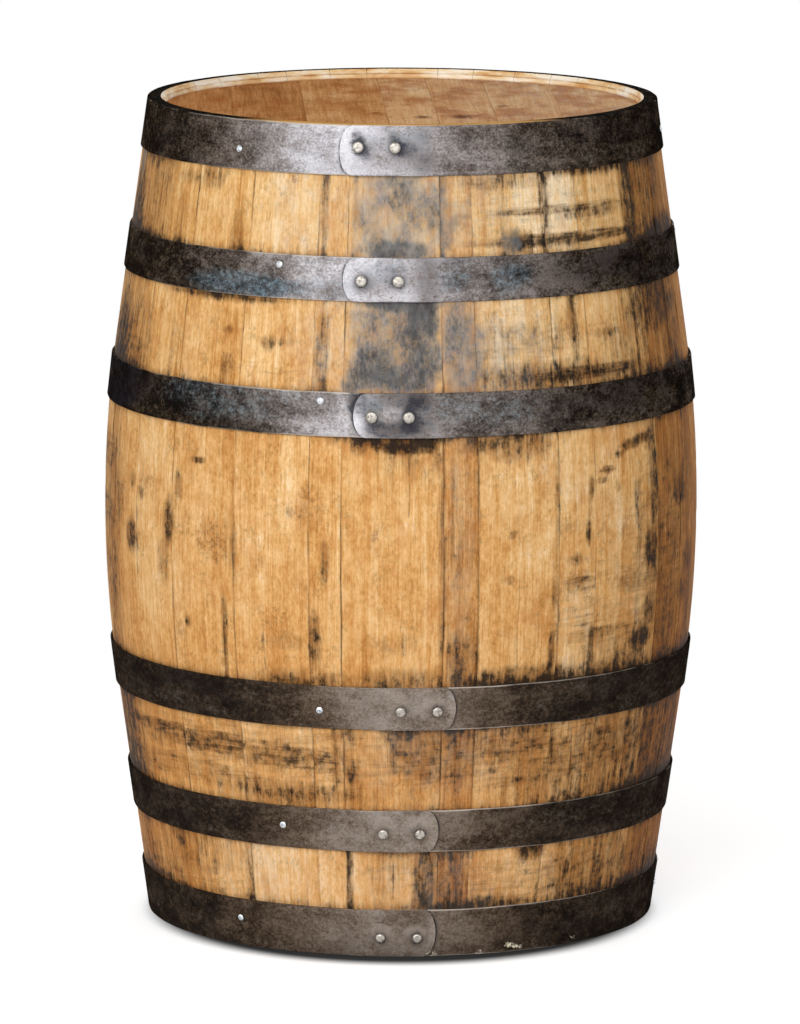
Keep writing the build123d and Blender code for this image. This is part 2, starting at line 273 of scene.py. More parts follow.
oakFinish = {
    # where each coat starts and where it is full
    "amber": (0.78, 0.12),  # metres above the floor
    "warm": (0.47, 0.67),
    "pore": (0.56, 0.74),
    "pepper": (1.08, 1.38),
    "halo": (1.15, 1.75),
    "knot": (0.8, 1.2),
    "wash": (-0.1, 1.05),
    "core": (0.55, 1.35),
    # the range of a pattern that sets how thick the dust is, how wide and dark the joints' dirt, how rough
    # the wood, and which of its two tones a wash has
    "dustCover": (0.38, 0.62, 0.3, 1.7),
    "jointReach": (0.35, 0.68),
    "jointDark": (0.42, 0.66),
    "rough": (0.3, 0.7),
    "washTones": (0.42, 0.6),
    "jointEdge": 0.15,  # millimetres from a joint that are wholly dark
    "pepperCloud": 1.1,  # how much pepper and pin knots keep to patches
    "haloCloud": 1.8,
    "haloMost": 0.36,
    "poreRelief": -0.7,  # pores are sunk, specks stand up
    "speckRelief": 0.6,
    "reliefDepth": 0.8,
}


# Oak that follows its grain: the grain attribute holds millimetres across, along, and a board's own
# number, so that a pattern of a given width in millimetres is the same on every board.
def oakMaterial(name, look):
    material, tree = newMaterial(name)
    grain = addNode(tree, "Attribute", out="Vector", attribute_name="grain")
    marks = addNode(tree, "Attribute", out="Vector", attribute_name="marks")
    marks = addNode(tree, "SeparateXYZ", (marks,), out=None)
    tone, seam, knots, dust = (addNode(tree, "Attribute", out="Fac", attribute_name=key)
                               for key in ("tone", "seam", "knots", "dust"))
    noise = patternsOn(tree, grain, look["patterns"], look["slants"])
    # how light the wood is: each pattern by its weight, about the board's tone
    light = weigh(tree, tone, noise, look["weights"])
    light = addNode(tree, "Math", (light, 0.5), operation="ADD")
    colour = addNode(tree, "ValToRGB", (light,), look["wood"])
    # more amber towards the foot of the cask
    level = addNode(tree, "SeparateXYZ", (addNode(tree, "TexCoord", out="Object"),), out=2)
    colour, _ = coat(tree, colour, level, *oakFinish["amber"], 1.0, look["amber"], "MULTIPLY", "LINEAR")
    # warmer patches where the wood is oily, and open pores: short dark dashes along the grain
    colour, _ = coat(tree, colour, noise["warmth"], *oakFinish["warm"], *look["warm"])
    colour, pores = coat(tree, colour, noise["pores"], *oakFinish["pore"], *look["pore"])
    # pepper: fine specks of dirt that come in patches
    plugs = (noise["cloud"], oakFinish["pepperCloud"], noise["pins"])
    pepper = addNode(tree, "Math", plugs, operation="MULTIPLY_ADD")
    colour, _ = coat(tree, colour, pepper, *oakFinish["pepper"], *look["pepper"])
    # clusters of pin knots: red-brown specks in a warm patch
    halo = addNode(tree, "Math", (noise["cloud"], oakFinish["haloCloud"], knots), operation="MULTIPLY_ADD")
    colour, _ = coat(tree, colour, halo, *oakFinish["halo"], oakFinish["haloMost"], look["warm"][1])
    pins = addNode(tree, "Math", (noise["pins"], knots), operation="ADD")
    colour, _ = coat(tree, colour, pins, *oakFinish["knot"], *look["knot"])
    # the three kinds of mark: a wash that darkens or greys the wood, and a core where it is strong,
    # both broken up by a broad and a fine pattern
    for channel, broad, fine, breaks, blend, wash, washMost, core, coreMost in look["stains"]:
        field = weigh(tree, marks[channel], noise, {broad: breaks[0], fine: breaks[1]})
        washTone = addNode(tree, "ValToRGB", (noise["speck"],), tuple(zip(oakFinish["washTones"], wash)))
        colour, _ = coat(tree, colour, field, *oakFinish["wash"], washMost, washTone, blend)
        field = weigh(tree, field, noise, {fine: breaks[2]})
        colour, _ = coat(tree, colour, field, *oakFinish["core"], coreMost, core, blend)
    # grey dust, thicker in some places
    cover = addNode(tree, "MapRange", (noise["mottle"], *oakFinish["dustCover"]))
    dust = addNode(tree, "Math", (dust, cover), operation="MULTIPLY")
    colour, _ = coat(tree, colour, dust, 0.0, 1.0, 1.0, look["dustTone"], ease="LINEAR")
    # dirt in the joints, wider and darker in places
    nearest, widest, faint, dark = look["seam"]
    reach = addNode(tree, "MapRange", (noise["speck"], *oakFinish["jointReach"], nearest, widest))
    depth = addNode(tree, "MapRange", (noise["blotch"], *oakFinish["jointDark"], faint, dark))
    colour, _ = coat(tree, colour, seam, reach, oakFinish["jointEdge"], depth, look["seamTone"])
    rough = addNode(tree, "MapRange", (noise["fibre"], *oakFinish["rough"], *look["rough"]))
    relief = noise["fibre"]
    for pattern, key in ((pores, "poreRelief"), (noise["speck"], "speckRelief")):
        relief = addNode(tree, "Math", (pattern, oakFinish[key], relief), operation="MULTIPLY_ADD")
    shine = {"Specular IOR Level": look["gloss"]}
    closeMaterial(tree, colour, rough, relief, look["bump"], oakFinish["reliefDepth"], shine)
    return material


# Weathered white oak, planed and left bare: golden tan, streaked along the grain, with open pores, blue-black
# where iron has wept on it, brown grime, and scuffs across the grain. The grime is partly painted shade at
# the sides and below the hoops, and the tone is partly painted light and shade.
weatheredOak = oakMaterial("weathered white oak", {
    # the pores are really 0.3 mm wide; they are drawn wider to show
    "patterns": {
        "fibre": (2.4, 70.0, 5.0, 0.72, 0.0),
        "pores": (1.8, 22.0, 3.0, 0.6, 0.0),
        "rings": (9.0, 420.0, 3.0, 0.6, 0.6),
        "blotch": (52.0, 110.0, 5.0, 0.62, 0.0),
        "warmth": (34.0, 60.0, 6.0, 0.68, 0.3),
        "mottle": (13.0, 24.0, 6.0, 0.7, 0.4),
        "fleck": (2.6, 6.0, 4.0, 0.7, 0.0),
        "pins": (4.0, 5.0, 4.0, 0.7, 0.0),
        "speck": (9.0, 13.0, 6.0, 0.72, 0.0),
        "streak": (6.0, 70.0, 6.0, 0.68, 0.0),
        "cloud": (26.0, 34.0, 5.0, 0.62, 0.0),
        "scuff": (60.0, 7.0, 6.0, 0.68, 0.5),
    },
    "slants": {"scuff": 1.5},  # degrees
    "weights": {"fibre": 0.7, "rings": 0.5, "blotch": 0.65, "fleck": 0.6, "mottle": 0.55, "speck": 0.4},
    "wood": ((0.02, "#7d4d20"), (0.28, "#bb803f"), (0.5, "#dba765"), (0.72, "#eec68c"), (0.95, "#fae2bd")),
    # the most each covers, and its tone
    "warm": (0.4, "#bb7430"),
    "pore": (0.34, "#6a421d"),
    "pepper": (0.42, "#7d5b2f"),
    "knot": (0.75, "#6f4322"),
    "dustTone": "#bdbcb8",
    "amber": "#fff1e4",
    # channel, the two patterns, how much they break up the wash and the core, then the wash and the
    # core with the most each covers
    "stains": (
        (1, "streak", "speck", (1.9, 1.3, 1.6), "MULTIPLY", ("#a09384", "#a0968c"), 0.85, "#1e1914", 0.94),
        (2, "scuff", "speck", (1.9, 1.3, 1.6), "MULTIPLY", ("#a39482", "#a3978a"), 0.85, "#1e1914", 0.86),
        (0, "cloud", "fleck", (2.1, 0.9, 0.7), "MIX", ("#84745e", "#6b6e76"), 0.88, "#24262d", 0.9),
    ),
    "seam": (0.5, 3.0, 0.0, 0.9),  # least and most reach in millimetres, least and most cover
    "seamTone": "#25170c",
    "rough": (0.6, 0.82),
    "gloss": 0.16,
    "bump": 0.55,
})

# Planed oak boards, less weathered than the staves: smoother and redder, with small knots.
headOak = oakMaterial("planed white oak head", {
    "patterns": {
        "fibre": (2.2, 80.0, 5.0, 0.65, 0.0),
        "pores": (1.8, 24.0, 3.0, 0.6, 0.0),
        "rings": (9.0, 300.0, 3.0, 0.6, 0.8),
        "blotch": (46.0, 110.0, 4.0, 0.55, 0.0),
        "warmth": (50.0, 80.0, 3.0, 0.55, 0.0),
        "mottle": (13.0, 24.0, 6.0, 0.7, 0.4),
        "fleck": (2.6, 9.0, 4.0, 0.7, 0.0),
        "pins": (4.0, 6.0, 4.0, 0.7, 0.0),
        "speck": (9.0, 13.0, 6.0, 0.7, 0.0),
        "streak": (6.0, 60.0, 5.0, 0.65, 0.0),
        "cloud": (26.0, 40.0, 5.0, 0.6, 0.0),
        "scuff": (30.0, 6.0, 5.0, 0.65, 0.3),
    },
    "slants": {},
    "weights": {"fibre": 0.5, "rings": 0.5, "blotch": 0.5, "fleck": 0.4},
    "wood": ((0.05, "#693c22"), (0.3, "#ab7040"), (0.52, "#cd935d"), (0.75, "#e4b684"), (0.95, "#f4d8b2")),
    "warm": (0.6, "#a85e30"),
    "pore": (0.45, "#6b3d18"),
    "pepper": (0.3, "#7a4a26"),
    "knot": (0.75, "#5a2d10"),
    "dustTone": "#c4b8ae",
    "amber": "#ffffff",
    "stains": (
        (1, "streak", "speck", (1.0, 0.9, 0.8), "MULTIPLY", ("#a08c78", "#a08c78"), 0.8, "#6b4028", 0.85),
        (2, "scuff", "cloud", (1.6, 1.2, 1.4), "MULTIPLY", ("#b09880", "#b09880"), 0.6, "#5a4a3a", 0.7),
        (0, "cloud", "streak", (1.6, 1.2, 1.4), "MIX", ("#80664c", "#80664c"), 0.5, "#4a3a2c", 0.7),
    ),
    "seam": (0.4, 1.5, 0.0, 0.45),
    "seamTone": "#3a2110",
    "rough": (0.6, 0.8),
    "gloss": 0.0,
    "bump": 0.4,
})


endGrainFinish = {
    "coarse": 14.29,  # sizes of the patterns in millimetres
    "fine": 2.38,
    "range": (0.75, 1.35),  # of both patterns together
    "tones": ((0.3, "#171513"), (0.65, "#2b2723"), (1.0, "#55483a")),
    # where the front is rubbed clean, in metres from the cask's middle, then the most of it and its tone
    "clean": (-0.205, -0.242, 0.9, "#d9a765"),
    "rough": 0.9,
    "bump": (0.5, 0.5),  # strength, and depth in millimetres
}


# Stave ends sawn across the grain and black with handling: pores show as small pale specks.
def blackEndGrain():
    material, tree = newMaterial("blackened oak end grain")
    place = addNode(tree, "TexCoord", out="Object")
    plugs = {"Vector": place, "Scale": 1 / (endGrainFinish["coarse"] * mm), "Detail": 5.0, "Roughness": 0.7}
    coarse = addNode(tree, "TexNoise", plugs)
    plugs = {"Vector": place, "Scale": 1 / (endGrainFinish["fine"] * mm), "Detail": 3.0}
    fine = addNode(tree, "TexNoise", plugs)
    both = addNode(tree, "Math", (coarse, fine), operation="ADD")
    share = addNode(tree, "MapRange", (both, *endGrainFinish["range"], 0.0, 1.0))
    colour = addNode(tree, "ValToRGB", (share,), endGrainFinish["tones"])
    depth = addNode(tree, "SeparateXYZ", (place,), out=1)
    colour, _ = coat(tree, colour, depth, *endGrainFinish["clean"])
    shine = {"Specular IOR Level": 0.0}
    closeMaterial(tree, colour, endGrainFinish["rough"], fine, *endGrainFinish["bump"], shine)
    return material


bevelFinish = {
    "deep": 9.5,  # from the end down to the bevel's foot
    "patch": (58.82, 11.76),  # millimetres along it and down it
    "fine": 2.632,
    "cream": ((0.34, "#d49a56"), (0.46, "#f2d3a0"), (0.6, "#fff6e4")),
    # the brown's cover at shares of the bevel's depth, and how far the patches move it: a thin line at the
    # top, the saw line partly painted shade in its groove, and painted shadow from the foot down, above the
    # head
    "line": ((0.0, 0.25), (0.08, 0.0), (0.40, 0.05), (0.52, 0.85), (0.64, 0.1), (0.92, 0.0), (1.0, 0.8)),
    "lineAndShadowTone": "#a05f2c",
    "wander": 0.25,
    "shown": (0.42, 0.58, 1.0, 0.25),  # the line is fainter on pale patches
    "rough": 0.75,
    "bump": (0.4, 0.4),
}


# The bevel inside the stave ends, sawn last and still raw: pale cream, with one brown line round it where the
# saw's two cuts meet, partly painted shade in its groove, and a painted shadow at its foot above the head.
def rawBevel():
    material, tree = newMaterial("raw sawn oak bevel")
    place = addNode(tree, "TexCoord", out="Object")
    height = addNode(tree, "SeparateXYZ", (place,), out=2)
    fromMiddle = addNode(tree, "Math", (height, midHeight * mm), operation="SUBTRACT")
    fromMiddle = addNode(tree, "Math", (fromMiddle,), operation="ABSOLUTE")
    # depth below the end, as a share of the bevel's own
    foot = midHeight - bevelFinish["deep"]
    depth = addNode(tree, "MapRange", (fromMiddle, midHeight * mm, foot * mm, 0.0, 1.0))
    along, down = (1 / (size * mm) for size in bevelFinish["patch"])
    drawn = addNode(tree, "VectorMath", (place, (along, along, down)), operation="MULTIPLY")
    patch = addNode(tree, "TexNoise", {"Vector": drawn, "Scale": 1.0, "Detail": 5.0, "Roughness": 0.6})
    plugs = {"Vector": place, "Scale": 1 / (bevelFinish["fine"] * mm), "Detail": 3.0}
    fine = addNode(tree, "TexNoise", plugs)
    cream = addNode(tree, "ValToRGB", (patch,), bevelFinish["cream"])
    depth = weigh(tree, depth, {"patch": patch}, {"patch": bevelFinish["wander"]})
    # brown by depth: the saw line, partly painted shade in its groove, and painted shadow at the foot
    line = addNode(tree, "ValToRGB", (depth,), bevelFinish["line"])
    shown = addNode(tree, "MapRange", (patch, *bevelFinish["shown"]))
    line = addNode(tree, "Math", (line, shown), operation="MULTIPLY")
    colour, _ = coat(tree, cream, line, 0.0, 1.0, 1.0, bevelFinish["lineAndShadowTone"], ease="LINEAR")
    closeMaterial(tree, colour, bevelFinish["rough"], fine, *bevelFinish["bump"])
    return material


charFinish = {
    "blister": 12.5,  # sizes in millimetres
    "ash": 6.25,
    "tones": ((0.35, "#0d0b0a"), (0.7, "#2a2623")),
    "rough": 0.85,
    "bump": (0.8, 2.0),
}


# The inside, burnt until it cracks into blisters: matt black with grey edges.
def charredOak():
    material, tree = newMaterial("charred oak")
    place = addNode(tree, "TexCoord", out="Object")
    plugs = {"Vector": place, "Scale": 1 / (charFinish["blister"] * mm)}
    blister = addNode(tree, "TexVoronoi", plugs, feature="DISTANCE_TO_EDGE")
    ash = addNode(tree, "TexNoise", {"Vector": place, "Scale": 1 / (charFinish["ash"] * mm), "Detail": 4.0})
    colour = addNode(tree, "ValToRGB", (ash,), charFinish["tones"])
    closeMaterial(tree, colour, charFinish["rough"], blister, *charFinish["bump"])
    return material


steelFinish = {
    "patterns": {  # along and across the strip
        "cloud": (38.0, 26.0, 5.0, 0.62, 0.0),
        "rust": (6.5, 5.5, 7.0, 0.8, 0.0),
        "speck": (2.6, 2.4, 4.0, 0.72, 0.0),
        "rub": (130.0, 4.0, 5.0, 0.66, 0.0),
        "patch": (70.0, 26.0, 4.0, 0.6, 0.0),
    },
    # how the patterns break each coat up
    "rustBreaks": {"rust": 1.2, "patch": 1.2},
    "sparkle": {"speck": 1 / 3, "rust": 1 / 3, "cloud": 1 / 3},
    "bluedBreaks": {"patch": 1.3, "rust": 1.0},
    "grimeAndShadeBreaks": {"rust": 1.5, "cloud": 1.3, "speck": 0.8},
    # where each coat starts and where it is full
    "scale": (0.6, 1.3),
    "rust": (0.46, 0.92),
    "worn": (0.14, 1.15),
    "haze": (0.1, 0.85),
    # and then the most it covers and its tone, or its tones by the rust pattern
    "blued": (0.05, 0.85, 0.66),
    "bluedTones": ((0.4, "#232d31"), (0.52, "#415663"), (0.64, "#7d98a4")),
    # the edge's tone is a painted highlight
    "edge": (0.24, 0.52, 0.9, "#b3aaa0"),
    # the grime is partly painted shade
    "grime": (0.18, 0.85, 0.9, "#1a1c26"),
    "chips": (0.95, 1.05, 1.0, "#e9dfc6"),
    "scaleRust": 0.9,  # how much of the scale's shade is specks
    "metallic": 0.9,
    "rough": (0.3, 0.7, 0.42, 0.66),
    "rustRelief": 1.2,
    "bump": (0.4, 0.7),  # strength, and depth in millimetres
}


# Hot-rolled mild steel strip left to oxidise: near black mill scale, brown rust in fine specks, and blue-grey
# bare metal where it is rubbed, which also paints the lamp's sheen; a painted highlight on the edges, and
# painted shade at the lap's end and round the rivets. The strip attribute is millimetres along and across.
def hoopSteel(name, look):
    material, tree = newMaterial(name)
    strip = addNode(tree, "Attribute", out="Vector", attribute_name="strip")
    bare, edge, grime, blued, chips = (addNode(tree, "Attribute", out="Fac", attribute_name=key)
                                       for key in ("bare", "edge", "grime", "blued", "chips"))
    noise = patternsOn(tree, strip, steelFinish["patterns"], {})
    # mill scale: patches with fine specks in them
    plugs = (noise["rust"], steelFinish["scaleRust"], noise["cloud"])
    shade = addNode(tree, "Math", plugs, operation="MULTIPLY_ADD")
    shade = addNode(tree, "MapRange", (shade, *steelFinish["scale"], 0.0, 1.0))
    colour = addNode(tree, "ValToRGB", (shade,), look["scale"])
    # rust: fine specks that come in patches
    rust = weigh(tree, noise["speck"], noise, steelFinish["rustBreaks"])
    colour, _ = coat(tree, colour, rust, *steelFinish["rust"], *look["rust"])
    # bare metal, which also paints the lamp's sheen: where the strip is rubbed, broken up in patches and
    # faintly along the rolling
    worn = weigh(tree, bare, noise, look["breakUp"])
    plugs = (worn, *steelFinish["worn"], 0.0, 1.0)
    worn = addNode(tree, "MapRange", plugs, interpolation_type="SMOOTHSTEP")
    sparkle = weigh(tree, 0.5, noise, steelFinish["sparkle"])
    metal = addNode(tree, "ValToRGB", (sparkle,), look["metal"])
    # half-worn metal keeps a brown haze
    haze = addNode(tree, "ValToRGB", (worn,), tuple(zip(steelFinish["haze"], (look["haze"], "#ffffff"))))
    metal = addNode(tree, "Mix", {0: 1.0, 6: metal, 7: haze}, out=2, data_type="RGBA", blend_type="MULTIPLY")
    colour, _ = coat(tree, colour, worn, 0.0, 1.0, 1.0, metal, ease="LINEAR")
    # heat tint, a blue that comes in patches
    tint = weigh(tree, blued, noise, steelFinish["bluedBreaks"])
    blue = addNode(tree, "ValToRGB", (noise["rust"],), steelFinish["bluedTones"])
    colour, _ = coat(tree, colour, tint, *steelFinish["blued"], blue)
    # a painted highlight along the edges, in places
    bright = addNode(tree, "Math", (edge, noise["cloud"]), operation="MULTIPLY")
    colour, bright = coat(tree, colour, bright, *steelFinish["edge"], ease="LINEAR")
    # black dirt, with painted shade round the rivets and a painted shadow at the lap's end
    dirt = weigh(tree, grime, noise, steelFinish["grimeAndShadeBreaks"])
    colour, _ = coat(tree, colour, dirt, *steelFinish["grime"])
    # flecks of cream paint
    paint = addNode(tree, "Math", (noise["speck"], chips), operation="ADD")
    colour, _ = coat(tree, colour, paint, *steelFinish["chips"], ease="LINEAR")
    # scale is dull, bare metal reflects
    metallic = addNode(tree, "Math", (worn, bright), operation="MAXIMUM")
    metallic = addNode(tree, "Math", (metallic, steelFinish["metallic"]), operation="MULTIPLY")
    rough = addNode(tree, "MapRange", (noise["rust"], *steelFinish["rough"]))
    plugs = (noise["rust"], steelFinish["rustRelief"], noise["speck"])
    relief = addNode(tree, "Math", plugs, operation="MULTIPLY_ADD")
    shine = {"Metallic": metallic, "Specular IOR Level": 0.0}
    closeMaterial(tree, colour, rough, relief, *steelFinish["bump"], shine)
    return material


fastenerFinish = {
    "pits": 3.03,  # millimetres apart
    "dirt": (0.34, 0.5),  # where the pits' pattern goes from dirty to clean
    "polish": (0.3, 0.6),  # and from rough to smooth
    "metallic": 0.9,
    "bump": (0.3, 0.3),
}


# A cold-headed fastener: pale dull metal with dirt in its pits.
def fastenerMetal(name, clean, dirty, roughLow, roughHigh):
    material, tree = newMaterial(name)
    place = addNode(tree, "TexCoord", out="Object")
    plugs = {"Vector": place, "Scale": 1 / (fastenerFinish["pits"] * mm), "Detail": 5.0, "Roughness": 0.65}
    pits = addNode(tree, "TexNoise", plugs)
    colour = addNode(tree, "ValToRGB", (pits,), tuple(zip(fastenerFinish["dirt"], (dirty, clean))))
    rough = addNode(tree, "MapRange", (pits, *fastenerFinish["polish"], roughHigh, roughLow))
    shine = {"Metallic": fastenerFinish["metallic"]}
    closeMaterial(tree, colour, rough, pits, *fastenerFinish["bump"], shine)
    return material


paleWoodFinish = {
    "streak": (3.03, 40.0),  # millimetres across and along the grain
    "patch": 16.67,
    "streakWeight": 0.6,
    "range": (0.55, 1.05),  # of streaks and patches together
    "rough": 0.62,
    "bump": (0.4, 0.4),
}


# A pale wood that is turned or drawn round: faint rings and streaks along one axis of the object.
def paleWood(name, tones, grainAxis):
    material, tree = newMaterial(name)
    place = addNode(tree, "TexCoord", out="Object")
    across, along = (1 / (size * mm) for size in paleWoodFinish["streak"])
    stretch = [along if axis == grainAxis else across for axis in "xyz"]
    drawn = addNode(tree, "VectorMath", (place, stretch), operation="MULTIPLY")
    streak = addNode(tree, "TexNoise", {"Vector": drawn, "Scale": 1.0, "Detail": 5.0, "Roughness": 0.6})
    plugs = {"Vector": place, "Scale": 1 / (paleWoodFinish["patch"] * mm), "Detail": 3.0}
    patch = addNode(tree, "TexNoise", plugs)
    plugs = (streak, paleWoodFinish["streakWeight"], patch)
    both = addNode(tree, "Math", plugs, operation="MULTIPLY_ADD")
    share = addNode(tree, "MapRange", (both, *paleWoodFinish["range"], 0.0, 1.0))
    colour = addNode(tree, "ValToRGB", (share,), tuple(zip((0.0, 0.5, 1.0), tones)))
    closeMaterial(tree, colour, paleWoodFinish["rough"], streak, *paleWoodFinish["bump"])
    return material


endGrainOak = blackEndGrain()
bevelOak = rawBevel()
charOak = charredOak()
# the metal tones are the bare steel, pale enough to paint the lamp's sheen: paler on the upper hoops, where
# it is brighter
upperHoopSteel = hoopSteel("blued rolled steel", {
    "scale": ((0.15, "#100d0b"), (0.5, "#1e1814"), (0.85, "#3c3127")),
    "metal": ((0.38, "#8a8586"), (0.5, "#acaaae"), (0.62, "#cfcdd1")),
    "breakUp": {"cloud": 0.6, "rust": 0.6, "speck": 0.55, "rub": 0.16},
    "haze": "#f2dcc6",
    "rust": (0.6, "#5f4a2e"),
})
lowerHoopSteel = hoopSteel("browned rolled steel", {
    "scale": ((0.15, "#181412"), (0.5, "#29221d"), (0.85, "#433931")),
    "metal": ((0.38, "#74675b"), (0.5, "#93877d"), (0.62, "#ada39a")),
    "breakUp": {"cloud": 0.4, "rust": 0.5, "speck": 0.5, "rub": 0.12},
    "haze": "#f4dcc2",
    "rust": (0.55, "#5c4730"),
})
upperRivetSteel = fastenerMetal("dull rivet steel", "#a8a39b", "#6d665f", 0.42, 0.6)
lowerRivetSteel = fastenerMetal("bright rivet steel", "#b6b0a8", "#675f57", 0.32, 0.52)
screwZinc = fastenerMetal("zinc plated steel", "#d5dade", "#8b9096", 0.25, 0.42)
# the bung's grain runs upright, across its axis
bungPoplar = paleWood("turned poplar", ("#a8814f", "#cfae78", "#e6cf9f"), "z")
dowelBeech = paleWood("drawn beech", ("#b98a5e", "#d5ad80", "#e3c49c"), "x")
print("materials ready")

hoopLook = {
    "thickness": 2.0,
    "clearance": 0.1,
    "lapGap": 0.1,
    "lapMargin": 19.5,
    "rivetSpacing": 38.3,
    "ramp": 26.0,
    "tip": 13.0,  # length of the rounded free end
    # distance in from the strip's edge, and how far its face stands back there
    "edge": ((0.0, 0.7), (0.12, 0.3), (0.35, 0.08), (0.7, 0.0)),
    "faceCols": 13,
    "backCols": 7,
    "step": 4.5,  # between sections along the strip
    "lapStep": 2.0,  # on the lap
    "tipStep": 1.0,  # and below its free end
    "tipRows": (-18.0, -16.0, 12.0, 14.0),  # where these steps change, along the strip from the free end
    "tipSections": 14,
    "flat": 2.2,  # from the edges to the face's even columns
    "backRound": 0.4,
    # driving marks: their depth, their length along the strip and across it, and how many waves add up
    "dent": 0.35,
    "dentSpan": (34.0, 80.0, 10),
    "rim": (0.55, 1.0),  # where they grow, as shares of the half width
    "edgeWave": 0.5,  # how far the edges stray, and over what lengths
    "edgeWaveSpan": (60.0, 80.0),
    "edgeShift": 30.0,  # so that the two edges differ
    "endClear": 0.3,  # from the stave ends
    "edgeHighlightReach": 2.6,  # how far in from the edges the painted highlight reaches
    "tipHighlightReach": 3.0,
    "edgeHighlightLeast": 0.45,
    "rubBehind": 0.8,  # bare metal behind, its length, and the degrees from the bare place in front
    "rubSpan": (300.0, 400.0),
    "rubFrom": (70.0, 110.0),
    # an amount, and the reach over which it falls, or the square of that reach
    # painted shadow with dirt below the lap's free end, and painted shade with dirt round the rivets
    "tipShadowAndGrime": (0.95, 2.2),  # on the layer below, from the free end
    "rivetPull": (0.5, 11.0**2),  # how far a rivet draws the strip in
    "rivetGrime": (0.7, 9.0**2),
    # a painted highlight along the lap's free end
    "tipHighlight": (0.45, 9.0**2),
    "frontHighlight": (0.9, 42.0**2),  # the painted highlight on the edges, in degrees from the front
    "rampGrime": (0.15, 16.0**2),
    "shift": (911.0, 5.7),  # moves the pattern from hoop to hoop
}
# heights from the lower edge are shares of the width; the last is the bare metal, which also paints the
# lamp's sheen at the front: its amount, middle, and reach to the left and to the right
hoopKeys = ("low", "width", "lapEnd", "lapWay", "rivetShare", "screwAngle", "screwShare", "bare")
hoopRows = {
    "top_head_hoop": (836.5, 52.0, -13.5, 1, 0.555, -37.8, 0.40, (0.93, -13.0, 26.0, 37.0)),
    "top_quarter_hoop": (706.0, 46.0, -11.9, 1, 0.455, -25.7, 0.76, (0.86, -11.0, 24.0, 43.0)),
    "top_bilge_hoop": (565.0, 46.5, -9.1, 1, 0.455, -15.6, 0.79, (0.75, -13.0, 20.0, 43.0)),
    "bottom_bilge_hoop": (252.0, 46.5, 10.7, -1, 0.46, -15.8, 0.43, (0.88, -2.0, 17.0, 21.0)),
    "bottom_quarter_hoop": (117.0, 46.0, 7.9, -1, 0.46, -24.9, 0.54, (0.86, -5.0, 21.0, 24.0)),
    "bottom_head_hoop": (0.5, 52.0, 7.8, -1, 0.415, -37.4, 0.59, (0.78, -5.0, 30.0, 30.0)),
}
hoops = {node: dict(zip(hoopKeys, row)) for node, row in hoopRows.items()}
for hoop in hoops.values():
    hoop["level"] = hoop["low"] + hoop["width"] / 2
    hoop["isUpper"] = hoop["low"] > midHeight
# the rivets' distances from the lap's free end
rivetReaches = (hoopLook["lapMargin"], hoopLook["lapMargin"] + hoopLook["rivetSpacing"])
lapLength = rivetReaches[1] + hoopLook["lapMargin"]

# marks on the hoops, read off the photograph: middle and half size in pixels, and strength; blued is heat
# tint, and chips are of paint
hoopMarks = {
    "grime": (
        (402, 162, 36, 10, 0.3), (425, 140, 12, 18, 0.1), (369, 148, 9, 10, 0.4), (358, 136, 6, 7, 0.4),
        (393, 136, 6, 7, 0.4), (406, 148, 9, 8, 0.4), (372, 286, 18, 8, 0.3), (386, 266, 8, 12, 0.25),
        (338, 168, 24, 6, 0.2), (424, 272, 13, 26, 0.25), (402, 398, 24, 9, 0.5), (420, 414, 11, 22, 0.3),
        (392, 430, 22, 8, 0.6), (357, 398, 9, 14, 0.6), (620, 390, 60, 22, 0.25), (575, 268, 40, 18, 0.2),
        (122, 382, 24, 34, 0.5), (650, 250, 30, 40, 0.3),
    ),
    "blued": (
        (244, 283, 44, 11, 0.6), (270, 290, 12, 9, 0.8), (322, 288, 34, 9, 0.35), (372, 272, 14, 12, 0.3),
        (398, 268, 9, 16, 0.4), (455, 272, 16, 18, 0.5), (510, 276, 20, 15, 0.65),
        (232, 400, 62, 18, 0.35), (490, 412, 70, 16, 0.3), (372, 404, 10, 8, 0.5),
        (378, 136, 16, 12, 0.3), (412, 140, 16, 14, 0.35),
    ),
    # the bare marks are painted glints: beside the rivets of the lower hoops, and at the top hoop's lap
    "bare": (
        (396, 700, 7, 7, 0.9), (433, 702, 7, 5, 0.8), (384, 823, 7, 5, 0.6), (419, 824, 7, 5, 0.6),
        (381, 930, 7, 5, 0.8), (416, 931, 7, 5, 0.8), (347, 142, 7, 14, 0.5), (372, 132, 10, 6, 0.4),
    ),
    "chips": (
        (508, 944, 6, 4, 0.5), (518, 947, 5, 4, 0.48), (431, 953, 6, 4, 0.5), (480, 952, 6, 4, 0.48),
        (572, 937, 6, 4, 0.44),
    ),
}

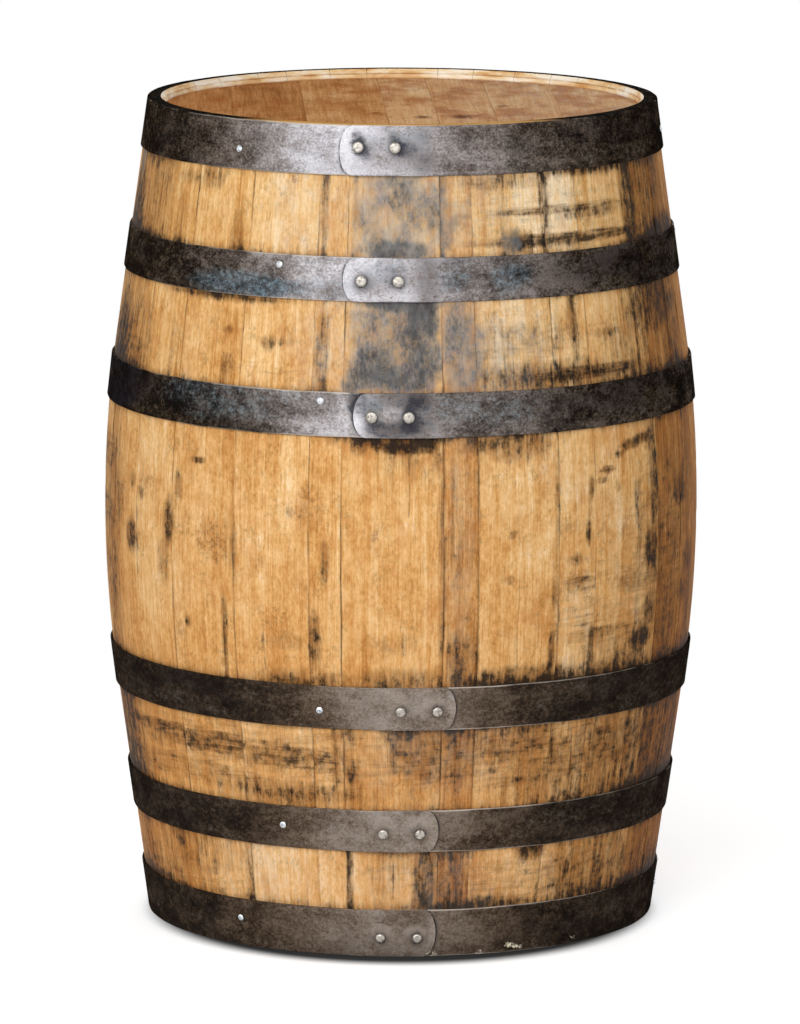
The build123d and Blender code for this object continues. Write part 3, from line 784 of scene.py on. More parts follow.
staveLook = {
    "firstJoint": -77.0,
    "widths": (15.3, 12.4, 15.8, 15.9, 6.3, 19.4, 6.7, 16.7, 8.6, 18.8, 10.2,
               8.4, 12.2, 9.6, 11.3, 7.8, 13.4, 8.9, 10.6, 11.0, 8.9, 17.6,
               9.3, 11.6, 8.2, 12.8, 10.6, 7.4, 12.1, 9.8, 12.4),
    "bungPlace": 21,
    # lighter or darker boards, in the same order; the ones behind are drawn. The darkest, at the right side,
    # are partly painted shade there
    "tones": (-0.04, -0.02, 0.03, 0.06, 0.05, 0.05, -0.07, 0.08, 0.13, 0.1, -0.2, -0.24, -0.2, -0.12, -0.06),
    "drawnTones": (-0.14, 0.08),
    # iron, grime and scuffs on wood with no mark of its own
    "cleanLevels": (-1.2, -0.42, -0.7),
    "mostMarked": 1.4,
    # grime at the hoops' edges, and the reach over which it falls; below a hoop it is painted shadow as well
    "aboveUpper": (1.05, 8.0),
    "aboveLower": (1.05, 11.0),
    "belowHoopShadowAndGrime": (0.8, 8.0),
    "rowStep": 4.0,
    "colStep": 5.0,
    "edgeCols": (0.0, 0.5, 1.2, 2.4, 4.5),  # distances from the joints
    "endRows": (0.5, 2.2, 34.0, 41.0, 48.0, 55.0),  # depths, besides those of the end's profile
    "blackEdge": 2.0,  # how far the black end turns over the edge
    "jointDrop": (0.45, 1.5),  # depth and reach of the worn edge at a joint
    "jointWear": (0.6, 1.2),  # the share of that depth, from stave to stave
    "chip": (1.0, 5.0),  # depth and reach of chips along the joints
    "chipSpan": (90.0, 26.0),
    "chipRange": (0.25, 0.6),  # where the chips' pattern starts and where it is full
    "chipShift": 40.0,  # so that the two joints differ
    "uneven": 0.7,  # the most that a stave stands back
    "wave": 0.25,  # long waves, and their length across and along
    "waveSpan": (22.0, 240.0),
    "knocks": 5,  # on each stave, and the least and most of their height, size and depth
    "knockHeights": (60.0, 830.0),
    "knockSizes": (4.0, 11.0),
    "knockDepths": (0.4, 1.1),
    "crack": (1.3, 14.0),  # half width, and the length over which a crack fades out
    "crackStray": (0.8, 17.0),  # how far it strays to the side, and over what height
    "crackCols": (-1.4, -0.5, 0.0, 0.5, 1.4),  # columns of the grid beside it
    "endGap": (0.26, 0.12, 9.0),  # half a joint's gap at the ends, its share elsewhere, and its reach
    "endBreak": 0.9985,  # how far the ends' outer edges are drawn in
    "shift": (173.0, 7.3),  # moves the pattern from board to board
    # angle, from height, to height, depth
    "cracks": ((-1.5, 55, 112, 1.3), (4.0, 58, 108, 1.1), (-44.0, 56, 112, 1.2), (37.0, 165, 250, 1.3),
               (50.0, 168, 248, 1.2), (1.5, 470, 560, 0.7), (-27.0, 300, 380, 0.8), (23.0, 305, 420, 0.9)),
}

# marks on the wood, read off the photograph: middle and half size in pixels, and strength
stains = {
    "iron": (
        (394, 210, 44, 46, 0.7), (395, 250, 40, 12, 1.2), (372, 236, 12, 22, 0.7),
        (403, 196, 26, 14, 0.75), (480, 215, 44, 44, -0.05), (340, 205, 16, 44, -0.05),
        (590, 215, 60, 40, -0.2), (388, 182, 14, 12, 0.9), (440, 212, 20, 46, 0.62),
        (396, 345, 46, 50, 0.82), (422, 320, 18, 30, 1.4), (402, 303, 42, 10, 1.3),
        (394, 378, 48, 16, 1.25), (420, 358, 24, 34, 1.15), (372, 360, 20, 24, 0.95),
        (462, 346, 24, 50, 0.75), (358, 340, 12, 48, 0.45), (352, 385, 14, 10, 0.9),
        (520, 345, 60, 40, 0.05), (512, 242, 10, 16, 0.7),
    ),
    # the marks close to the left and right outlines are painted shade at the cask's sides as well as grime
    "grime": (
        (400, 440, 46, 10, 1.0), (403, 444, 26, 11, 1.3), (358, 446, 7, 11, 0.85), (432, 446, 9, 9, 0.9),
        (438, 462, 4, 16, 0.7), (212, 180, 10, 11, 0.55), (190, 178, 14, 8, 0.4), (325, 212, 4, 42, 0.75),
        (355, 212, 4, 42, 0.45), (442, 212, 3, 42, 0.5), (503, 212, 4, 40, 0.55), (543, 205, 5, 44, 0.75),
        (500, 184, 40, 7, 0.4), (520, 240, 12, 10, 0.8), (660, 226, 12, 18, 0.95), (628, 200, 7, 44, 1.1),
        (648, 200, 16, 50, 0.7), (600, 168, 40, 6, 0.6), (590, 212, 30, 6, 0.75), (180, 215, 5, 36, 0.3),
        (237, 228, 6, 26, 0.35), (150, 190, 14, 46, 0.5), (138, 200, 6, 46, 1.1), (122, 330, 6, 50, 1.1),
        (135, 330, 12, 44, 0.55), (322, 352, 7, 36, 0.75), (277, 341, 24, 5, 0.5), (268, 343, 8, 8, 0.7),
        (228, 365, 8, 12, 0.35), (220, 296, 46, 4, 0.6), (500, 345, 30, 18, 0.4), (545, 335, 26, 22, 0.4),
        (575, 332, 5, 34, 0.85), (545, 372, 80, 12, 0.65), (618, 330, 24, 6, 0.7),
        (655, 308, 24, 26, 0.95), (640, 345, 30, 36, 0.55), (175, 340, 9, 30, 0.2),
        (515, 448, 40, 14, 0.5), (402, 466, 26, 20, 0.3), (113, 490, 7, 70, 0.6), (111, 565, 5, 70, 0.65),
        (131, 535, 5, 18, 0.9), (168, 520, 5, 24, 0.95), (163, 560, 6, 26, 0.4), (178, 485, 4, 16, 0.7),
        (212, 540, 16, 24, 0.15), (197, 460, 8, 3, 1.0), (228, 545, 5, 36, 0.35), (224, 625, 3, 36, 1.05),
        (325, 562, 4, 24, 0.85), (312, 510, 14, 22, 0.15), (314, 642, 7, 28, 0.85),
        (443, 560, 4, 130, 0.55), (478, 560, 3, 120, 0.3), (476, 650, 5, 34, 0.6),
        (458, 655, 12, 26, 0.85), (520, 676, 60, 10, 0.5), (300, 676, 40, 8, 0.2), (400, 676, 40, 8, 0.3),
        (668, 540, 18, 120, 0.5), (655, 480, 4, 50, 1.0), (640, 637, 11, 12, 1.15),
        (620, 660, 40, 22, 0.4), (684, 480, 10, 70, 0.5), (687, 600, 7, 80, 0.5), (652, 745, 22, 44, 0.8),
        (668, 745, 8, 44, 0.75), (640, 865, 20, 40, 0.6), (654, 860, 9, 40, 0.7), (640, 560, 4, 80, 0.5),
        (558, 560, 4, 110, 0.4), (507, 580, 5, 5, 0.6), (513, 535, 4, 4, 0.5), (607, 470, 6, 3, 0.7),
        (150, 730, 20, 10, 0.4), (338, 762, 9, 26, 0.6), (430, 750, 34, 34, 0.45),
        (400, 740, 14, 12, 0.6), (500, 745, 70, 20, 0.4), (600, 765, 66, 24, 0.55),
        (290, 790, 70, 9, 0.5), (630, 735, 44, 20, 0.6), (350, 745, 4, 40, 0.4), (552, 752, 4, 16, 0.8),
        (614, 752, 3, 10, 0.8), (350, 880, 4, 34, 0.85), (388, 874, 22, 20, 0.3),
        (424, 880, 11, 32, 0.95), (444, 876, 28, 28, 0.55), (530, 852, 12, 8, 0.8),
        (567, 868, 3, 12, 1.0), (622, 858, 3, 16, 0.9), (195, 852, 44, 16, 0.3), (470, 903, 60, 7, 0.4),
        (600, 865, 40, 26, 0.6), (250, 875, 4, 28, 0.5), (180, 838, 6, 10, 0.5), (400, 860, 30, 12, 0.2),
        (640, 855, 14, 30, 0.6), (160, 860, 14, 36, 0.2), (131, 735, 7, 46, 1.0), (149, 852, 7, 36, 0.5),
        (672, 335, 9, 46, 0.7), (459, 560, 14, 120, 0.3), (455, 750, 14, 40, 0.6),
        (452, 878, 14, 36, 0.7), (508, 446, 46, 10, 0.6), (645, 437, 9, 6, 1.05), (631, 444, 9, 5, 1.0),
        (668, 610, 12, 44, 0.7), (285, 641, 26, 9, 0.32), (396, 645, 22, 11, 0.3),
        (652, 440, 4, 14, 1.05), (620, 454, 5, 4, 0.95), (602, 480, 6, 4, 0.85), (592, 486, 3, 12, 0.8),
        (589, 533, 3, 14, 1.05), (590, 506, 3, 14, 0.6), (652, 548, 6, 22, 1.15), (637, 493, 3, 15, 0.75),
        (650, 608, 6, 16, 0.8), (577, 560, 12, 7, 0.5), (680, 489, 6, 18, 1.0), (670, 535, 4, 6, 0.9),
        (688, 556, 5, 20, 0.8), (667, 605, 6, 6, 0.85), (684, 588, 6, 14, 0.8), (555, 598, 3, 16, 0.75),
        (551, 655, 4, 28, 0.85), (590, 650, 3, 26, 0.8), (141, 493, 3, 7, 0.7), (132, 478, 3, 10, 0.7),
        (232, 545, 4, 34, 0.5), (187, 621, 3, 6, 0.8), (290, 513, 4, 8, 0.55), (352, 773, 6, 12, 0.75),
        (395, 757, 7, 18, 0.7),
    ),
    "scuffs": (
        (570, 238, 80, 7, 1.1), (560, 209, 70, 4, 0.9), (590, 372, 70, 7, 1.0), (570, 210, 84, 36, 0.15),
        (480, 205, 34, 34, 0.1), (520, 340, 70, 34, 0.2), (270, 370, 50, 16, 0.0),
        (600, 622, 50, 34, 0.25), (615, 570, 40, 18, 0.25), (660, 560, 30, 90, 0.35),
        (250, 650, 70, 24, -0.1), (400, 755, 300, 36, 0.32), (205, 741, 50, 12, 0.95),
        (285, 757, 66, 14, 0.8), (160, 726, 34, 8, 0.8), (180, 765, 60, 14, 0.5), (300, 735, 50, 8, 0.4),
        (540, 752, 130, 34, 0.55), (330, 765, 60, 22, 0.4), (560, 872, 100, 26, 0.3),
        (180, 868, 40, 24, 0.25), (400, 880, 50, 24, 0.1), (580, 585, 18, 10, 0.62),
        (631, 580, 13, 16, 0.58), (600, 634, 40, 9, 0.7),
    ),
}
# grey dust
dustPatches = (
    (430, 212, 66, 60, 0.15), (305, 212, 34, 60, 0.12), (470, 345, 50, 60, 0.16),
    (459, 540, 15, 140, 0.07), (340, 345, 40, 60, 0.16), (400, 345, 56, 60, 0.14),
    (395, 212, 50, 60, 0.2), (430, 880, 60, 34, 0.08), (430, 750, 70, 50, 0.06),
)
# lighter places, the strength added to the tone: paler wood, and low on the front painted light on the lower
# staves
lightPatches = (
    (290, 876, 70, 44, 0.26), (300, 750, 90, 44, 0.1), (150, 520, 26, 90, 0.17), (550, 490, 24, 70, 0.08),
    (300, 212, 34, 50, 0.08), (545, 208, 28, 40, 0.28), (526, 345, 32, 44, 0.22), (458, 212, 16, 44, 0.1),
    (458, 345, 16, 44, 0.08), (510, 880, 34, 36, 0.1), (480, 212, 40, 40, 0.06), (598, 580, 44, 90, 0.05),
)
# clusters of pin knots
pinKnots = (
    (212, 540, 20, 26, 0.38), (312, 508, 20, 26, 0.38), (276, 622, 16, 16, 0.4), (205, 210, 12, 18, 0.35),
    (228, 330, 6, 6, 0.6), (226, 362, 10, 12, 0.5), (607, 470, 8, 5, 0.6), (375, 537, 5, 6, 0.5),
    (402, 597, 6, 5, 0.4), (512, 580, 5, 7, 0.5), (513, 535, 5, 6, 0.5), (610, 330, 20, 20, 0.35),
    (200, 740, 18, 12, 0.3), (405, 775, 20, 14, 0.35), (300, 890, 14, 12, 0.25), (295, 178, 6, 5, 0.6),
    (119, 490, 8, 24, 0.42), (110, 560, 6, 18, 0.4),
)


def onCask(x, y, halfX, halfY):
    # a patch of the photograph as angle, height, half angle and half height on the cask
    angle, height = caskPoint(x, y)
    sides = [caskPoint(x + way * halfX, y)[0] for way in (-1, 1)]
    ends = [caskPoint(x, y + way * halfY)[1] for way in (-1, 1)]
    return angle, height, (sides[1] - sides[0]) / 2, (ends[0] - ends[1]) / 2


def allOnCask(patches):
    # patches of the photograph as places on the cask, each with its strength
    return [(*onCask(*patch), strength) for *patch, strength in patches]


# marks for the sides that the photograph doesn't show: ranges of degrees, millimetres and strength
drawnLook = {
    "count": 110,
    "kinds": (0, 1, 1, 1, 1, 2, 2),
    "sizes": (((1, 7), (12, 45)), ((1, 7), (12, 45)), ((8, 20), (12, 34))),  # half angle, half height
    "levels": (60, 830),
    "below": (0, 20),  # iron weeps down from the hoops
    "angles": (78, 282),
    "strengths": (0.3, 0.75),
    "knots": 18,
    "knotRanges": ((82, 278), (60, 830), (2, 5), (10, 24), (0.3, 0.5)),
}


def drawnSpots():
    # kind, angle, height, half angle, half height and strength, each drawn from its range
    spots = []
    for _ in range(drawnLook["count"]):
        kind = int(rng.choice(drawnLook["kinds"]))
        size = [rng.uniform(*span) for span in drawnLook["sizes"][kind]]
        level = rng.uniform(*drawnLook["levels"])
        if kind == 0:
            level = rng.choice([hoop["low"] for hoop in hoops.values()]) - rng.uniform(*drawnLook["below"])
        angle, strength = rng.uniform(*drawnLook["angles"]), rng.uniform(*drawnLook["strengths"])
        spots.append((kind, angle, level, *size, strength))
    return spots


spots = [(kind, *spot) for kind, rows in enumerate(stains.values()) for spot in allOnCask(rows)]
spots += drawnSpots() + [(1, 180.0, 395.0, 3.5, 45.0, 0.85)]  # the last one wept from the bung
dustSpots, lightSpots = allOnCask(dustPatches), allOnCask(lightPatches)
knotSpots = allOnCask(pinKnots)
for _ in range(drawnLook["knots"]):
    knotSpots.append([rng.uniform(*span) for span in drawnLook["knotRanges"]])


def ellipse(angle, height, middle, level, halfAngle, halfHeight):
    # 1 over the middle of an ellipse with a soft edge: e to minus 0.4 of the fourth power of the reach
    across = apart(angle, middle) / halfAngle
    return np.exp(-0.4 * (across**2 + ((height - level) / halfHeight) ** 2) ** 2)


def marksAt(angle, height):
    # three masks: each mark lifts the clean level to its strength, and grime gathers at the hoops' edges,
    # with painted shadow below each hoop
    clean = staveLook["cleanLevels"]
    masks = np.zeros((*angle.shape, 3)) + clean
    for kind, *patch, strength in spots:
        lifted = clean[kind] + (strength - clean[kind]) * ellipse(angle, height, *patch)
        masks[..., kind] = np.maximum(masks[..., kind], lifted)
    for hoop in hoops.values():
        away = np.maximum(np.abs(height - hoop["level"]) - hoop["width"] / 2, 0)
        above = fading(staveLook["aboveUpper" if hoop["isUpper"] else "aboveLower"], away)
        masks[..., 1] += np.where(height > hoop["level"], above, fading(staveLook["belowHoopShadowAndGrime"], away))
    return np.minimum(masks, staveLook["mostMarked"])


def strongest(angle, height, patches, least):
    # the strongest of some patches, and never less than a given level
    total = np.full(angle.shape, least)
    for *patch, strength in patches:
        total = np.maximum(total, strength * ellipse(angle, height, *patch))
    return total


stavePlaces = staveLook["firstJoint"] + np.cumsum((0, *staveLook["widths"]))

# depth below the end and radius along a stave's end, from the flat's inner edge to the howel:
# bevel with a shallow line round it, wall, groove for the head, and the slope back to full thickness
endProfile = np.array([
    (0.0, 260.2), (4.3, 257.95), (4.8, 257.1), (5.4, 256.8), (5.7, 257.25), (8.5, 255.8), (16.5, 255.8),
    (20.0, 260.8), (24.0, 260.8), (27.5, 255.8), (62.0, float(outerRadius(62.0)) - staveThickness),
])
endDepth = endProfile[-1, 0]


def fromEnd(height):
    # height above the bottom end or below the top end, whichever is less
    return np.minimum(height, caskHeight - height)


def innerRadius(height):
    # near an end the end's profile, elsewhere one thickness inside the outer face
    nearEnd = np.interp(fromEnd(height), endProfile[:, 0], endProfile[:, 1])
    return np.where(fromEnd(height) < endDepth, nearEnd, outerRadius(height) - staveThickness)


# the hole takes the place of a square block of the stave's grid
bungHole = {"radius": 26.3, "innerRadius": 24.6, "block": 20.0, "lines": 11, "reach": 44.0}


def drawIn(across, height, radius):
    # squares round the bung hole are drawn in to circles, from the hole's edge out to its reach
    block, reach = bungHole["block"], bungHole["reach"]
    along = height - midHeight
    square = np.maximum(np.abs(across), np.abs(along))
    span = np.maximum(np.hypot(across, along), 1e-6)
    share = (square - block) / (reach - block)
    target = radius + share * (reach * span / np.maximum(square, 1e-6) - radius)
    factor = np.where(square < reach, target / span, 1.0)
    return across * factor, midHeight + along * factor


def staveLines(start, width, cracks, isBung):
    # columns and rows of a stave's grid: closer at the joints, the ends, the cracks and the bung hole
    edge = np.array(staveLook["edgeCols"])
    count = max(2, round((width - 2 * edge[-1]) / staveLook["colStep"]) + 1)
    inside = np.linspace(edge[-1], width - edge[-1], count)
    besides = [math.radians(crack[0] - start) * bilgeRadius + offset
               for crack in cracks for offset in staveLook["crackCols"]]
    depths = np.concatenate([endProfile[:, 0], staveLook["endRows"]])
    even = np.arange(endDepth + 4, caskHeight - endDepth - 3, staveLook["rowStep"])
    rows = np.unique(np.round(np.concatenate([depths, caskHeight - depths, even]), 3))
    if isBung:
        block = bungHole["block"]
        lines = np.linspace(-block, block, bungHole["lines"])
        inside = inside[np.abs(inside - width / 2) > block + 1]
        besides = np.concatenate([besides, width / 2 + lines])
        rows = np.union1d(rows[np.abs(rows - midHeight) > block + 0.5], np.round(midHeight + lines, 3))
    return np.unique(np.round(np.concatenate([edge, width - edge, inside, besides]), 3)), rows


def staveWear(width, cracks, across, height, angle):
    # how far the outer face stands back: worn and chipped joints, long waves, knocks and cracks; with
    # the distance from the nearest joint or crack
    seam = width / 2 - np.abs(across)
    wear = rng.uniform(*staveLook["jointWear"]) * rounding(staveLook["jointDrop"], seam)
    chipDepth, chipReach = staveLook["chip"]
    whichJoint = np.sign(across) * staveLook["chipShift"]
    chips = smooth(*staveLook["chipRange"], ripple(whichJoint, height, *staveLook["chipSpan"]))
    wear = wear + chipDepth * chips * np.clip(1 - seam / chipReach, 0, 1)
    wear = wear + staveLook["uneven"] * rng.uniform(0, 1)
    wear = wear + staveLook["wave"] * (1 + ripple(across, height, *staveLook["waveSpan"]))
    for _ in range(staveLook["knocks"]):
        x, y = rng.uniform(-width / 2, width / 2), rng.uniform(*staveLook["knockHeights"])
        size = rng.uniform(*staveLook["knockSizes"])
        knock = np.exp(-((across - x) ** 2 / size**2 + (height - y) ** 2 / (2 * size) ** 2))
        wear = wear + rng.uniform(*staveLook["knockDepths"]) * knock
    crackHalf, fade = staveLook["crack"]
    stray, every = staveLook["crackStray"]
    for crackAngle, low, high, deep in cracks:
        offset = np.abs(np.radians(angle - crackAngle) * bilgeRadius + stray * np.sin(height / every))
        along = smooth(low, low + fade, height) * (1 - smooth(high - fade, high, height))
        wear = wear + deep * np.clip(1 - offset / crackHalf, 0, 1) * along
        seam = np.minimum(seam, np.where(along > 0.05, 0.3 + offset + 3 * (1 - along), 99.0))
    return wear, seam


def makeStave(place, name, node):
    # a shell on a grid of height and arc length: the outer face is outerRadius less its wear, the inner
    # face innerRadius, closed by strips at the two joints and the two ends
    start, end = stavePlaces[place], stavePlaces[place + 1]
    middle, width = (start + end) / 2, math.radians(end - start) * bilgeRadius
    isBung = place == staveLook["bungPlace"]
    cracks = [crack for crack in staveLook["cracks"] if start < crack[0] < end]
    cols, rows = staveLines(start, width, cracks, isBung)
    across, height = np.meshgrid(cols - width / 2, rows)
    rowCount, colCount = across.shape
    count = across.size
    outerAcross, outerHeight = drawIn(across, height, bungHole["radius"]) if isBung else (across, height)
    innerAcross, innerHeight = drawIn(across, height, bungHole["innerRadius"]) if isBung else (across, height)

    def onStave(radius, offset, level):
        # the joints open a little towards the ends
        most, elsewhere, reach = staveLook["endGap"]
        gap = most * (elsewhere + np.exp(-fromEnd(level) / reach))
        narrow = 1 - 2 * gap / (width * outerRadius(level) / bilgeRadius)
        return polar(radius, middle + np.degrees(offset / bilgeRadius) * narrow, level)

    angle = middle + np.degrees(outerAcross / bilgeRadius)
    wear, seam = staveWear(width, cracks, outerAcross, outerHeight, angle)
    outer = onStave(outerRadius(outerHeight) - wear, outerAcross, outerHeight)
    inner = onStave(innerRadius(innerHeight), innerAcross, innerHeight)
    outer[[0, -1], :, :2] *= staveLook["endBreak"]
    number = np.arange(count).reshape(rowCount, colCount)
    middles = np.repeat((rows[:-1] + rows[1:]) / 2, colCount - 1)
    # each set of faces, and which of the four materials it has
    sets = [
        (gridFaces(rowCount, colCount), np.where(fromEnd(middles) < staveLook["blackEdge"], 1, 0)),
        (gridFaces(rowCount, colCount, count, flip=True), np.where(fromEnd(middles) < endDepth, 2, 3)),
    ]
    if isBung:
        within = bungHole["block"] + 0.01
        square = np.maximum(np.abs(across), np.abs(height - midHeight)).ravel()
        solid = ~(square[sets[0][0]] <= within).all(1)
        sets = [(part[solid], kind[solid]) for part, kind in sets]
        level = np.flatnonzero(np.abs(rows - midHeight) <= within)
        side = np.flatnonzero(np.abs(cols - width / 2) <= within)
        ring = np.concatenate([
            number[level[0], side[:-1]], number[level[:-1], side[-1]],
            number[level[-1], side[:0:-1]], number[level[:0:-1], side[0]],
        ])
        sets.append((stripFaces(ring, ring + count, close=True), np.full(len(ring), 2)))
    for line, kind, flip in ((number[:, 0], 0, False), (number[:, -1], 0, True),
                             (number[-1], 1, False), (number[0], 1, True)):
        sets.append((stripFaces(line, line + count, flip=flip), np.full(len(line) - 1, kind)))
    faces, kinds = zip(*sets)
    # the tone carries painted shade on the right-hand boards and painted light from the light patches low on
    # the front
    tones = staveLook["tones"]
    tone = tones[place] if place < len(tones) else rng.uniform(*staveLook["drawnTones"])
    along = outerHeight + rng.uniform(0, 4000)
    aside, apiece = (shift * place for shift in staveLook["shift"])
    fields = {
        "grain": np.stack([outerAcross + aside, along, np.full_like(across, apiece)], -1),
        "tone": tone + strongest(angle, outerHeight, lightSpots, 0.0),
        "seam": seam,
        "marks": marksAt(angle, outerHeight),
        "knots": strongest(angle, outerHeight, knotSpots, 0.07),
        "dust": strongest(angle, outerHeight, dustSpots, 0.0),
    }
    points = np.concatenate([outer.reshape(-1, 3), inner.reshape(-1, 3)])
    for key, field in fields.items():  # both faces carry the same fields
        fields[key] = np.concatenate([field.reshape(count, *field.shape[2:])] * 2)
    if isBung:  # the points inside the hole belong to no face
        used = np.unique(np.concatenate([part.ravel() for part in faces]))
        faces = [np.searchsorted(used, part) for part in faces]
        points = points[used]
        fields = {key: field[used] for key, field in fields.items()}
    materials = [weatheredOak, endGrainOak, bevelOak, charOak]
    makePiece(name, points, faces, materials, "cask", [node], np.concatenate(kinds), fields)


number = 0
for place in range(len(staveLook["widths"])):
    if place == staveLook["bungPlace"]:
        makeStave(place, "bungStave", "bung_stave")
    else:
        number += 1
        makeStave(place, f"oakStave{number:02d}", f"stave_{number:02d}")
print("staves made:", len(staveLook["widths"]))


def makeHoop(name, node, hoop, seed):
    # a rounded flat section carried along the strip: from its hidden end once round the wood, up a
    # ramp and over its own start, where its half width closes as an ellipse
    width, way = hoop["width"], hoop["lapWay"]
    half, thick = width / 2, hoopLook["thickness"]
    lap, ramp, tip, step = lapLength, hoopLook["ramp"], hoopLook["tip"], hoopLook["step"]
    wood = float(outerRadius(hoop["level"]))
    once = 2 * math.pi * wood
    total = once + lap
    hidden, before, beyond, onwards = (lap + row for row in hoopLook["tipRows"])
    path = np.concatenate([
        np.arange(0, hidden, step),  # under the lap
        np.arange(before, beyond, hoopLook["tipStep"]),  # at its free end
        np.arange(onwards, once - ramp, step),
        np.arange(once - ramp, total - tip - 1, hoopLook["lapStep"]),  # up the ramp and along the lap
        total - tip * (1 - np.sin(np.linspace(0, np.pi / 2 - 0.03, hoopLook["tipSections"]))),
    ])
    angle = hoop["lapEnd"] + way * np.degrees((lap - path) / wood)
    layer = smooth(once - ramp, once, path)[:, None]
    narrow = np.sqrt(np.clip(1 - np.clip(1 - (total - path) / tip, 0, 1) ** 2, 0.0005, 1))
    corner, inward = np.array(hoopLook["edge"]).T
    flat, backRound = hoopLook["flat"], hoopLook["backRound"]
    face = np.linspace(-half + flat, half - flat, hoopLook["faceCols"])
    back = np.linspace(half - corner[-1], -half + corner[-1], hoopLook["backCols"])
    section = np.concatenate([-half + corner, face, half - corner[::-1], [half], back, [-half]])
    outside = [thick - inward, np.full(len(face), thick), thick - inward[::-1]]
    depth = np.concatenate([*outside, [backRound], np.zeros(len(back)), [backRound]])
    across = section[None, :] * narrow[:, None]
    along = np.repeat(path[:, None], len(section), 1)
    # driving marks: the edges wave a little, and rivets pull the strip in round them
    rim = smooth(*hoopLook["rim"], np.abs(section) / half)[None, :]
    isOuter = (depth > thick / 4)[None, :]
    whichEdge = np.sign(across) * hoopLook["edgeShift"]
    dents = ripple(along, whichEdge, *hoopLook["dentSpan"])
    lift = hoopLook["dent"] * rim * dents * isOuter * (1 - 0.5 * layer)
    stray = hoopLook["edgeWave"] * rim * ripple(along, whichEdge, *hoopLook["edgeWaveSpan"])
    height = hoop["level"] + across + stray
    radial = wood + hoopLook["clearance"] + float(outerSlope(hoop["level"])) * across + depth[None, :]
    radial = radial + layer * (thick + hoopLook["lapGap"]) + np.maximum(lift, -0.2)
    if "head" in node:  # these stay off the ends of the staves
        height = np.clip(height, hoopLook["endClear"], caskHeight - hoopLook["endClear"])
    onTop = layer > 0.5
    # how far outside the free end a point of the layer below lies, along the strip
    fromTip = along - lap + tip * (1 - np.sqrt(np.clip(1 - (across / half) ** 2, 0, 1)))
    # painted shadow with dirt on the layer below the free end, then dirt at the ramp
    grime = np.where(onTop | (fromTip < 0), 0, fading(hoopLook["tipShadowAndGrime"], fromTip))
    grime = grime + fading(hoopLook["rampGrime"], (along - once + ramp / 2) ** 2)
    rivetLevel = (hoop["rivetShare"] - 0.5) * width
    # each rivet pulls the strip in, and has painted shade with dirt round it
    for reach in rivetReaches:
        near = (along - (total - reach)) ** 2 + (across - rivetLevel) ** 2
        radial = radial - fading(hoopLook["rivetPull"], near) * isOuter * onTop
        grime = grime + np.where(onTop, fading(hoopLook["rivetGrime"], near), 0)
    points = polar(radial, angle[:, None], height).reshape(-1, 3)
    rowCount, colCount = across.shape
    ends = [points[:colCount].mean(0), points[-colCount:].mean(0)]
    flip = way < 0
    ring = np.arange(colCount)
    faces = [
        gridFaces(rowCount, colCount, closeCols=True, flip=flip),
        fanFaces(ring, rowCount * colCount, flip=not flip),
        fanFaces(ring + (rowCount - 1) * colCount, rowCount * colCount + 1, flip=flip),
    ]
    # bare where it is handled at the front, graded to paint the lamp's sheen there, and rubbed bare again in
    # places behind
    amount, middle, left, right = hoop["bare"]
    fromMiddle = apart(angle, middle)
    bare = amount / (1 + (fromMiddle / np.where(fromMiddle < 0, left, right)) ** 2)
    behind = hoopLook["rubBehind"] * np.clip(ripple(path, path, *hoopLook["rubSpan"]), 0, 1)
    bare = bare + behind * smooth(*hoopLook["rubFrom"], np.abs(fromMiddle))
    # and a painted highlight along the free end of the lap
    tipHighlight = np.where(onTop, fading(hoopLook["tipHighlight"], (total - along) ** 2), 0)
    # a painted highlight along both edges and round the free end, strongest at the front
    closeness = 1 + (np.abs(section) - half) / hoopLook["edgeHighlightReach"]
    edge = np.clip(np.maximum(closeness[None, :], 1 - (total - along) / hoopLook["tipHighlightReach"]), 0, 1)
    edge = edge * (hoopLook["edgeHighlightLeast"] + fading(hoopLook["frontHighlight"], angle**2))[:, None]
    clear = np.zeros_like(across)
    fields = {"grime": grime, "bare": bare[:, None] + tipHighlight, "blued": clear, "chips": clear, "edge": edge}
    for kind, patches in hoopMarks.items():
        for *patch, strength in allOnCask(patches):
            fields[kind] = fields[kind] + strength * ellipse(angle[:, None], height, *patch)
    fields = {key: np.append(field, [0.0, 0.0]) for key, field in fields.items()}
    aside, apiece = (shift * seed for shift in hoopLook["shift"])
    strip = np.stack([along + aside, across, np.full_like(along, apiece)], -1).reshape(-1, 3)
    fields["strip"] = np.concatenate([strip, strip[:2]])
    steel = upperHoopSteel if hoop["isUpper"] else lowerHoopSteel
    points = np.concatenate([points, ends])
    makePiece(name, points, faces, [steel], "cask", [node], None, fields, 50)


for seed, (node, hoop) in enumerate(hoops.items()):
    first, *others = node.split("_")
    makeHoop(first + "".join(word.title() for word in others), node, hoop, seed)
print("hoops made:", len(hoops))


def lathe(profile, segments):
    # a profile of radius and height from pole to pole, carried round the axis; its ends are the poles
    profile = np.array(profile, float)
    turn = np.linspace(0, 2 * np.pi, segments, endpoint=False)
    radii, heights = profile[1:-1, :1], profile[1:-1, 1:]
    rings = np.stack(np.broadcast_arrays(radii * np.cos(turn), radii * np.sin(turn), heights), -1)
    poles = [(0, 0, profile[0, 1]), (0, 0, profile[-1, 1])]
    points = np.concatenate([rings.reshape(-1, 3), poles])
    ring, count = np.arange(segments), len(radii)
    faces = [
        gridFaces(count, segments, closeCols=True),
        fanFaces(ring, count * segments, flip=True),
        fanFaces(ring + (count - 1) * segments, count * segments + 1),
    ]
    return points, faces


